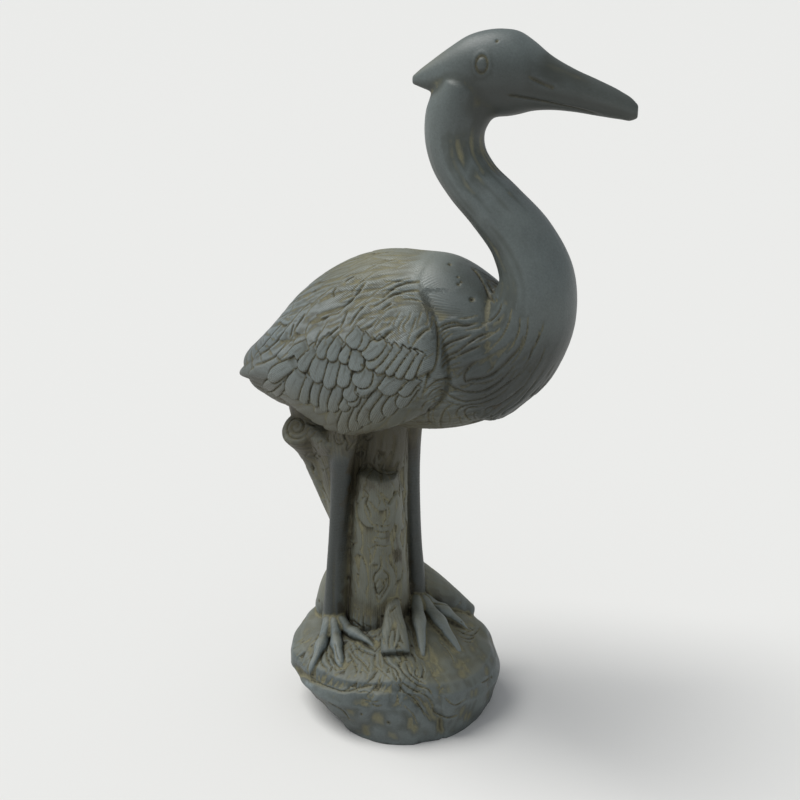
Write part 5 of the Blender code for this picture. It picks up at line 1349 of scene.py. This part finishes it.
def carve_stand(obj):
    points, normals = points_of(obj), normals_of(obj)
    tree = surface_tree(obj)
    depth = carve_trunk(points) + carve_mound(points)
    strand = np.arctan2(points[:, 1], points[:, 0] - HIP_X) * TRUNK_DIAMETER / 2 * 1.2
    from_leg, level = leg_places(points)
    on_leg = ((1 - ramp(from_leg, 1.12, 1.35)) * ramp(level, 0.0, 0.04 * LEG_LENGTH)
              * (1 - ramp(level, 0.82 * LEG_LENGTH, 0.95 * LEG_LENGTH)))
    wobble = 0.0013 * np.sin(points[:, 0] * 240 + level * 37) + 0.0009 * np.sin(level * 151 + 2)
    rings = np.abs(np.sin(math.pi * (level + wobble) / LEG_RING_SPACING))
    fading = 0.35 + 0.65 * np.clip(0.5 + blob_noise(points, 90.0, 3.0), 0, 1)
    depth += LEG_RING_DEPTH * (rings ** 0.6 - 0.5) * on_leg * fading
    traced_cuts(tree, points, normals, depth, STAND_FINE_STROKES, *STAND_FINE_CUT, False)
    traced_cuts(tree, points, normals, depth, STAND_DEEP_STROKES, *STAND_DEEP_CUT, False)
    air_holes(tree, points, depth)
    rough = blob_noise(points, 130.0, 5.0) * 0.0007 + blob_noise(points, 300.0, 9.0) * 0.0004
    low = 1 - ramp(points[:, 2], 0.75 * MOUND_WALL_HEIGHT, ANKLE_Z)
    depth += rough * (0.25 + 0.75 * low) * (1 - on_leg) * (0.4 + 0.6 * off_the_toes(points))
    set_points(obj, points + normals * depth[:, None])
    return strand, on_leg


def blob_noise(points, rate, seed):
    """Soft random lumps in space, from -1 to 1, made of waves in turned directions."""
    total = np.zeros(len(points))
    for k in range(9):
        a, b = chance(k, seed, 1.0), chance(seed, k, 2.0)
        direction = np.array([math.cos(a * 6.28) * math.cos(b * 3.14), math.sin(a * 6.28),
                              math.sin(b * 3.14) - 0.5])
        phase = points @ (direction * rate * (0.7 + 0.6 * chance(k, k, seed)))
        total += np.sin(phase + 6.28 * chance(k, seed, 3.0) + 1.7 * np.sin(phase * 0.43 + k))
    return total / 4.0


def add_float(obj, name, values):
    layer = obj.data.attributes.get(name) or obj.data.attributes.new(name, "FLOAT", "POINT")
    layer.data.foreach_set("value", np.asarray(values, np.float32))


def read_float(obj, name):
    values = np.empty(len(obj.data.vertices), np.float32)
    obj.data.attributes[name].data.foreach_get("value", values)
    return values.astype(float)


def hollows(points, normals, edges, rounds):
    """How far the surface lies below its own smoothed shape, in metres: grooves above 0."""
    smooth = even_out(points, edges, rounds, keep_volume=False)
    return np.sum((smooth - points) * normals, axis=1)


def openness(tree, points, normals, count=24, reach=0.30):
    """Share of what lies around it that each point sees, from a fixed fan of directions."""
    golden = math.pi * (3 - math.sqrt(5))
    fan = []
    for k in range(count):
        up = 1 - (k + 0.5) / count * 2
        r = math.sqrt(1 - up * up)
        fan.append(np.array([r * math.cos(golden * k), r * math.sin(golden * k), up]))
    seen = np.zeros(len(points))
    total = np.zeros(len(points))
    for direction in fan:
        slope = normals @ direction
        weight = np.clip(slope, 0, 1)
        total += weight
        ahead = Vector(direction)
        for i in np.nonzero(weight > 0.05)[0]:
            start = points[i] + normals[i] * 0.0012
            if tree.ray_cast(Vector(start), ahead, reach)[0] is None:
                seen[i] += weight[i]
    return seen / np.maximum(total, 1e-6)


def spread_openness(obj, coarse_points, coarse_values):
    tree = KDTree(len(coarse_points))
    for i, spot in enumerate(coarse_points):
        tree.insert(Vector(spot), i)
    tree.balance()
    points = points_of(obj)
    values = np.empty(len(points))
    for i, spot in enumerate(points):
        found = tree.find_n(Vector(spot), 3)
        weight = np.array([1 / (d + 1e-4) for _, _, d in found])
        values[i] = np.sum(weight * np.array([coarse_values[k] for _, k, _ in found])) / weight.sum()
    return values


# Colours of the stone and what lies on it, and of the painted sheen and painted shade
SLATE = (0.083, 0.099, 0.090)
SLATE_DARK = (0.046, 0.054, 0.048)
# Painted bluish sky sheen, a painted reflection, for raised faces
SLATE_SHEEN = (0.205, 0.248, 0.258)
KHAKI = (0.290, 0.282, 0.175)
OCHRE = (0.170, 0.150, 0.078)
# Painted shade for the cuts and grooves
CUT_SHADE_DARK = (0.016, 0.015, 0.009)
# Earth brown, used also as painted shade
EARTH_AND_SHADE = (0.036, 0.029, 0.014)
SHADE = (0.022, 0.025, 0.021)


def shade_sheen_and_dust(obj, sky, extra_dust, extra_shade, extra_earth_and_shade, quiet):
    """Paints dust, some wear and earth, and painted light: a sheen on raised faces, and painted shade in
    the cuts, in closed places and on faces that look down.
    """
    points, normals, edges = points_of(obj), normals_of(obj), edges_of(obj)
    fine = hollows(points, normals, edges, 3)
    wide = hollows(points, normals, edges, 14)
    broad = hollows(points, normals, edges, 60)
    level = 0.6 * fine / 0.00012 + wide / 0.0005
    # Painted shade in the cuts and grooves: the deeper the hollow, the darker
    cut_shade = np.clip(0.36 * np.maximum(level, 0) - 0.25, 0, 1)
    # Raised faces and broad bulges get a painted sky sheen, together with some wear
    wear_and_sheen = np.clip(0.62 * np.maximum(-level, 0) + 0.45 * np.clip(-broad / 0.0015, 0, 1), 0, 1)
    cloud = 0.5 + 0.5 * blob_noise(points, 26.0, 4.0)
    up = np.clip(normals[:, 2], 0, 1)
    down = np.clip(-normals[:, 2], 0, 1)
    dust = np.clip(extra_dust + 0.85 * np.clip(level - 0.1, 0, 1) + 0.16 * (cloud - 0.50), 0, 1)
    # The painted sheen fades on faces that look down
    wear_and_sheen = wear_and_sheen * (0.55 + 0.45 * cloud) * (1 - 0.75 * down) * (1 - quiet)
    # Painted shade with an earth-brown tint: darker where little of the surroundings is open and on faces
    # that look down, less on faces that look up
    earth_and_shade = np.clip(1.90 * (0.66 - sky) / 0.66 + 0.35 * down ** 1.5 + extra_earth_and_shade, 0, 1) * (1 - 0.6 * up)
    add_float(obj, "shade", np.clip(extra_shade + 0.75 * ramp(-normals[:, 2], -0.10, 0.70), 0, 1))
    layer = obj.data.attributes.new("shade_sheen_and_dust", "FLOAT_COLOR", "POINT")
    colour = np.stack([wear_and_sheen, dust, cut_shade, earth_and_shade], axis=1)
    layer.data.foreach_set("color", colour.astype(np.float32).ravel())


def stone_nodes(name, thread_size, thread_depth, grain_depth):
    """The weathered stone: its colour with painted sheen and painted shade, its roughness, and the relief
    of threads and grain.
    """
    material = bpy.data.materials.new(name)
    material.use_nodes = True
    tree = material.node_tree
    nodes, links = tree.nodes, tree.links
    shader = nodes["Principled BSDF"]
    shader.inputs["Metallic"].default_value = 0.0
    shader.inputs["IOR"].default_value = 1.5

    def new(kind, **values):
        node = nodes.new(kind)
        for key, value in values.items():
            setattr(node, key, value)
        return node

    def math_node(operation, *values, clamp=False):
        node = new("ShaderNodeMath", operation=operation, use_clamp=clamp)
        for socket, value in zip(node.inputs, values):
            if isinstance(value, (int, float)):
                socket.default_value = value
            else:
                links.new(value, socket)
        return node.outputs[0]

    def blend(share, first, second):
        node = new("ShaderNodeMix", data_type="RGBA")
        links.new(share, node.inputs["Factor"])
        for socket, value in ((node.inputs["A"], first), (node.inputs["B"], second)):
            if isinstance(value, tuple):
                socket.default_value = value + (1.0,)
            else:
                links.new(value, socket)
        return node.outputs["Result"]

    def cloud(scale, detail, rough=0.6):
        node = new("ShaderNodeTexNoise")
        links.new(place, node.inputs["Vector"])
        node.inputs["Scale"].default_value = scale
        node.inputs["Detail"].default_value = detail
        node.inputs["Roughness"].default_value = rough
        return node.outputs["Fac"]

    place = new("ShaderNodeTexCoord").outputs["Object"]
    # The four painted layers: sheen with wear, dust, painted shade in the cuts, and painted shade with an
    # earth tint
    painted = new("ShaderNodeAttribute", attribute_name="shade_sheen_and_dust")
    parts = new("ShaderNodeSeparateColor")
    links.new(painted.outputs["Color"], parts.inputs["Color"])
    wear_and_sheen, dust, cut_shade = parts.outputs["Red"], parts.outputs["Green"], parts.outputs["Blue"]
    earth_and_shade = painted.outputs["Alpha"]
    thread = new("ShaderNodeAttribute", attribute_name="thread").outputs["Fac"]
    threaded = new("ShaderNodeAttribute", attribute_name="threaded").outputs["Fac"]
    shade = new("ShaderNodeAttribute", attribute_name="shade").outputs["Fac"]

    mottle = cloud(42.0, 5.0)
    speck = cloud(420.0, 3.0)
    fleck = cloud(1300.0, 2.0)
    dark_share = math_node("MULTIPLY_ADD", mottle, 1.6, -0.3, clamp=True)
    base = blend(dark_share, SLATE, SLATE_DARK)
    # Painted sheen: raised faces turn to the bluish sheen colour, a painted sky reflection
    wear_and_sheen_share = math_node("MULTIPLY", wear_and_sheen, math_node("MULTIPLY_ADD", speck, 1.2, 0.35), clamp=True)
    colour = blend(wear_and_sheen_share, base, SLATE_SHEEN)
    dust_share = math_node("MULTIPLY", dust, math_node("MULTIPLY_ADD", mottle, 1.1, 0.40), clamp=True)
    tint = blend(speck, KHAKI, OCHRE)
    colour = blend(dust_share, colour, tint)
    colour = blend(math_node("MULTIPLY", shade, 0.85, clamp=True), colour, SHADE)
    # Painted shade with an earth-brown tint
    colour = blend(math_node("MULTIPLY", earth_and_shade, 0.85, clamp=True), colour, EARTH_AND_SHADE)
    # Painted shade in the cuts
    colour = blend(math_node("MULTIPLY", cut_shade, 0.9, clamp=True), colour, CUT_SHADE_DARK)

    wave = math_node("SINE", math_node("MULTIPLY", thread, 2 * math.pi / thread_size))
    lines = math_node("MULTIPLY", math_node("MULTIPLY_ADD", wave, 0.5, 0.5, clamp=True), threaded)
    colour = blend(math_node("MULTIPLY", lines, 0.34), colour, OCHRE)
    links.new(colour, shader.inputs["Base Color"])

    rough = math_node("MULTIPLY_ADD", wear_and_sheen, -0.16, 0.50)
    rough = math_node("ADD", rough, math_node("MULTIPLY", dust, 0.22), clamp=True)
    rough = math_node("ADD", rough, math_node("MULTIPLY_ADD", fleck, 0.16, -0.08), clamp=True)
    links.new(rough, shader.inputs["Roughness"])

    def bump(distance, height):
        node = new("ShaderNodeBump")
        node.inputs["Strength"].default_value = 1.0
        node.inputs["Distance"].default_value = distance
        links.new(height, node.inputs["Height"])
        return node

    thread_bump = bump(thread_depth, lines)
    grain_bump = bump(grain_depth, math_node("ADD", speck, math_node("MULTIPLY", fleck, 0.5)))
    links.new(thread_bump.outputs["Normal"], grain_bump.inputs["Normal"])
    links.new(grain_bump.outputs["Normal"], shader.inputs["Normal"])
    return material


def finish_piece(piece, name, sky, extra_dust, extra_shade, extra_earth_and_shade, quiet, threaded, material):
    piece.name = name
    piece.data.name = name
    add_float(piece, "threaded", threaded)
    shade_sheen_and_dust(piece, sky, extra_dust, extra_shade, extra_earth_and_shade, quiet)
    piece.data.materials.clear()
    piece.data.materials.append(material)
    piece.data.shade_smooth()
    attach(piece, "root")
    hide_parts("heron_statue")


def make_bird():
    """The bird: body, wings, neck and head as one surface with all its plumage."""
    bird = fuse(make_body() + make_wings() + make_neck() + make_head(), BIRD_GRID)
    edges = edges_of(bird)
    set_points(bird, even_out(points_of(bird), edges, rounds=14))
    set_points(bird, soften_joins(points_of(bird), normals_of(bird), edges, BIRD_GRID))
    strand = carve_bird(bird)
    set_points(bird, even_out(points_of(bird), edges, rounds=1))
    add_float(bird, "thread", strand)
    thin_out(bird, BIRD_FACES)
    return bird


def make_stand():
    """The mound, trunk, cut branch, legs and feet as one surface."""
    pieces = make_mound() + make_trunk() + make_branch() + make_webs() + make_legs() + make_feet()
    stand = fuse(pieces, STAND_GRID)
    edges = edges_of(stand)
    set_points(stand, even_out(points_of(stand), edges, rounds=10))
    set_points(stand, soften_joins(points_of(stand), normals_of(stand), edges, STAND_GRID))
    strand, on_leg = carve_stand(stand)
    add_float(stand, "thread", strand)
    add_float(stand, "on_leg", on_leg)
    thin_out(stand, STAND_FACES)
    cut_flat(stand)
    return stand


def dress_bird(bird, solid_points, solid_open):
    points, normals = points_of(bird), normals_of(bird)
    x, y, z = points.T
    sky = spread_openness(bird, solid_points, solid_open)
    level = (z - BELLY_Z) / BODY_DEPTH
    back_dust = 0.55 * ramp(level, 0.62, 1.0) * ramp(-x, -0.12, 0.02) * ramp(normals[:, 2], 0.25, 0.9)
    low_dust = 0.45 * (1 - ramp(level, 0.05, 0.35)) * (x < 0.12)
    neck_share = ramp(x + 0.4 * (z - 0.55), 0.06, 0.12)
    off_axis = ramp(np.hypot(y, z - BODY_AXIS_Z), 0.20 * BODY_DEPTH, 0.42 * BODY_DEPTH)
    smooth_shoulder = ramp(level, 0.75, 1.0) * ramp(x, -0.08, 0.04)
    threads = off_axis * (1 - 0.85 * neck_share) * (1 - 0.8 * smooth_shoulder)
    along, _, up = head_places(points)
    cheek = (ramp(along, -0.2 * SKULL_LENGTH, 0.2 * SKULL_LENGTH) * ramp(up, -0.5 * SKULL_DEPTH, 0.0)
             * (1 - ramp(up, 0.45 * SKULL_DEPTH, 0.85 * SKULL_DEPTH)))
    shade = 0.72 * cheek + 0.90 * neck_share * (1 - ramp(level, 0.30, 1.1))
    shade += 0.35 * ramp(-x, 0.12, 0.20)
    # Painted shade with an earth-brown tint on the downward faces of the low belly
    earth_and_shade = 0.95 * ramp(-normals[:, 2], 0.05, 0.60) * (1 - ramp(level, 0.02, 0.22))
    finish_piece(bird, "heron_bird", sky, np.maximum(back_dust, low_dust), shade, earth_and_shade,
                 0.50 * neck_share, threads, stone_nodes("stone_plumage", 0.0024, 0.00045, 0.00022))


def dress_stand(stand, solid_points, solid_open):
    points, normals = points_of(stand), normals_of(stand)
    sky = spread_openness(stand, solid_points, solid_open)
    on_leg = read_float(stand, "on_leg")
    woody = ramp(points[:, 2], ANKLE_Z - 0.02, ANKLE_Z + 0.02) * (1 - on_leg)
    level = (points[:, 2] - ANKLE_Z) / LEG_LENGTH
    toes = (1 - off_the_toes(points)) * ramp(normals[:, 2], 0.0, 0.5) * (level < 0.12)
    # Painted shade with an earth-brown tint under the bird's belly and on the trunk, taken off the toes
    earth_and_shade = 0.95 * ramp(level, 0.55, 0.86) + 0.52 * woody * (1 - toes) - 0.7 * toes
    dust = 0.32 * woody + 0.33 * ramp(normals[:, 2], 0.45, 0.95) * (1 - woody)
    shade = 0.85 * on_leg * (1 - toes)
    finish_piece(stand, "heron_stand", sky, dust, shade, earth_and_shade, 0.55 * (1 - toes), 0.55 * woody,
                 stone_nodes("stone_ground", 0.0030, 0.00040, 0.00065))


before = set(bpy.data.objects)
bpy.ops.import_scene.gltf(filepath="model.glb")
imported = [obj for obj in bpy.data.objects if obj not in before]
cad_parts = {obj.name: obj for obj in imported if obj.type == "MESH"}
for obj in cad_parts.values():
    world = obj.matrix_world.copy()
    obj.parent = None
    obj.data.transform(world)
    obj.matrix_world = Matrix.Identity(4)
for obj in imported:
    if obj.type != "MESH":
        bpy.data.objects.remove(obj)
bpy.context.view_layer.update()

bird = make_bird()
stand = make_stand()

# How open each place is to its surroundings, measured on the solid
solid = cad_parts["heron_statue"]
solid_points, solid_normals = points_of(solid), normals_of(solid)
solid_open = openness(surface_tree(solid), solid_points, solid_normals)

dress_bird(bird, solid_points, solid_open)
dress_stand(stand, solid_points, solid_open)

# Floor, light and camera
bpy.ops.mesh.primitive_plane_add(size=80.0, location=(0.0, 0.0, 0.0))
floor = bpy.context.view_layer.objects.active
floor.name = "floor"
floor_material = bpy.data.materials.new("pale_floor")
floor_material.use_nodes = True
floor_shader = floor_material.node_tree.nodes["Principled BSDF"]
floor_shader.inputs["Base Color"].default_value = (0.82, 0.82, 0.81, 1.0)
floor_shader.inputs["Roughness"].default_value = 0.95
floor_shader.inputs["Specular IOR Level"].default_value = 0.1
floor.data.materials.append(floor_material)

bpy.context.scene.view_settings.view_transform = "Standard"
world = bpy.data.worlds.new("studio")
bpy.context.scene.world = world
world.use_nodes = True
world.node_tree.nodes["Background"].inputs["Color"].default_value = (0.93, 0.96, 1.0, 1.0)
world.node_tree.nodes["Background"].inputs["Strength"].default_value = 0.38


def add_sun(name, toward, strength, spread, colour):
    """A sun that shines along a direction, as wide as its spread in degrees."""
    light = bpy.data.lights.new(name, "SUN")
    light.energy = strength
    light.angle = math.radians(spread)
    light.color = colour
    obj = bpy.data.objects.new(name, light)
    obj.rotation_euler = Vector(toward).to_track_quat("-Z", "Y").to_euler()
    bpy.context.scene.collection.objects.link(obj)


add_sun("key", (0.60, 0.20, -1.15), 2.4, 40.0, (1.0, 0.99, 0.96))

camera_data = bpy.data.cameras.new("camera")
camera_data.sensor_width = 36.0
camera_data.lens = 36.0 * PICTURE_FOCAL / PICTURE_SIZE
camera = bpy.data.objects.new("camera", camera_data)
camera.location = CAMERA_PLACE
camera.rotation_euler = Vector(sight_axes()[0]).to_track_quat("-Z", "Y").to_euler()
bpy.context.scene.collection.objects.link(camera)
bpy.context.scene.camera = camera
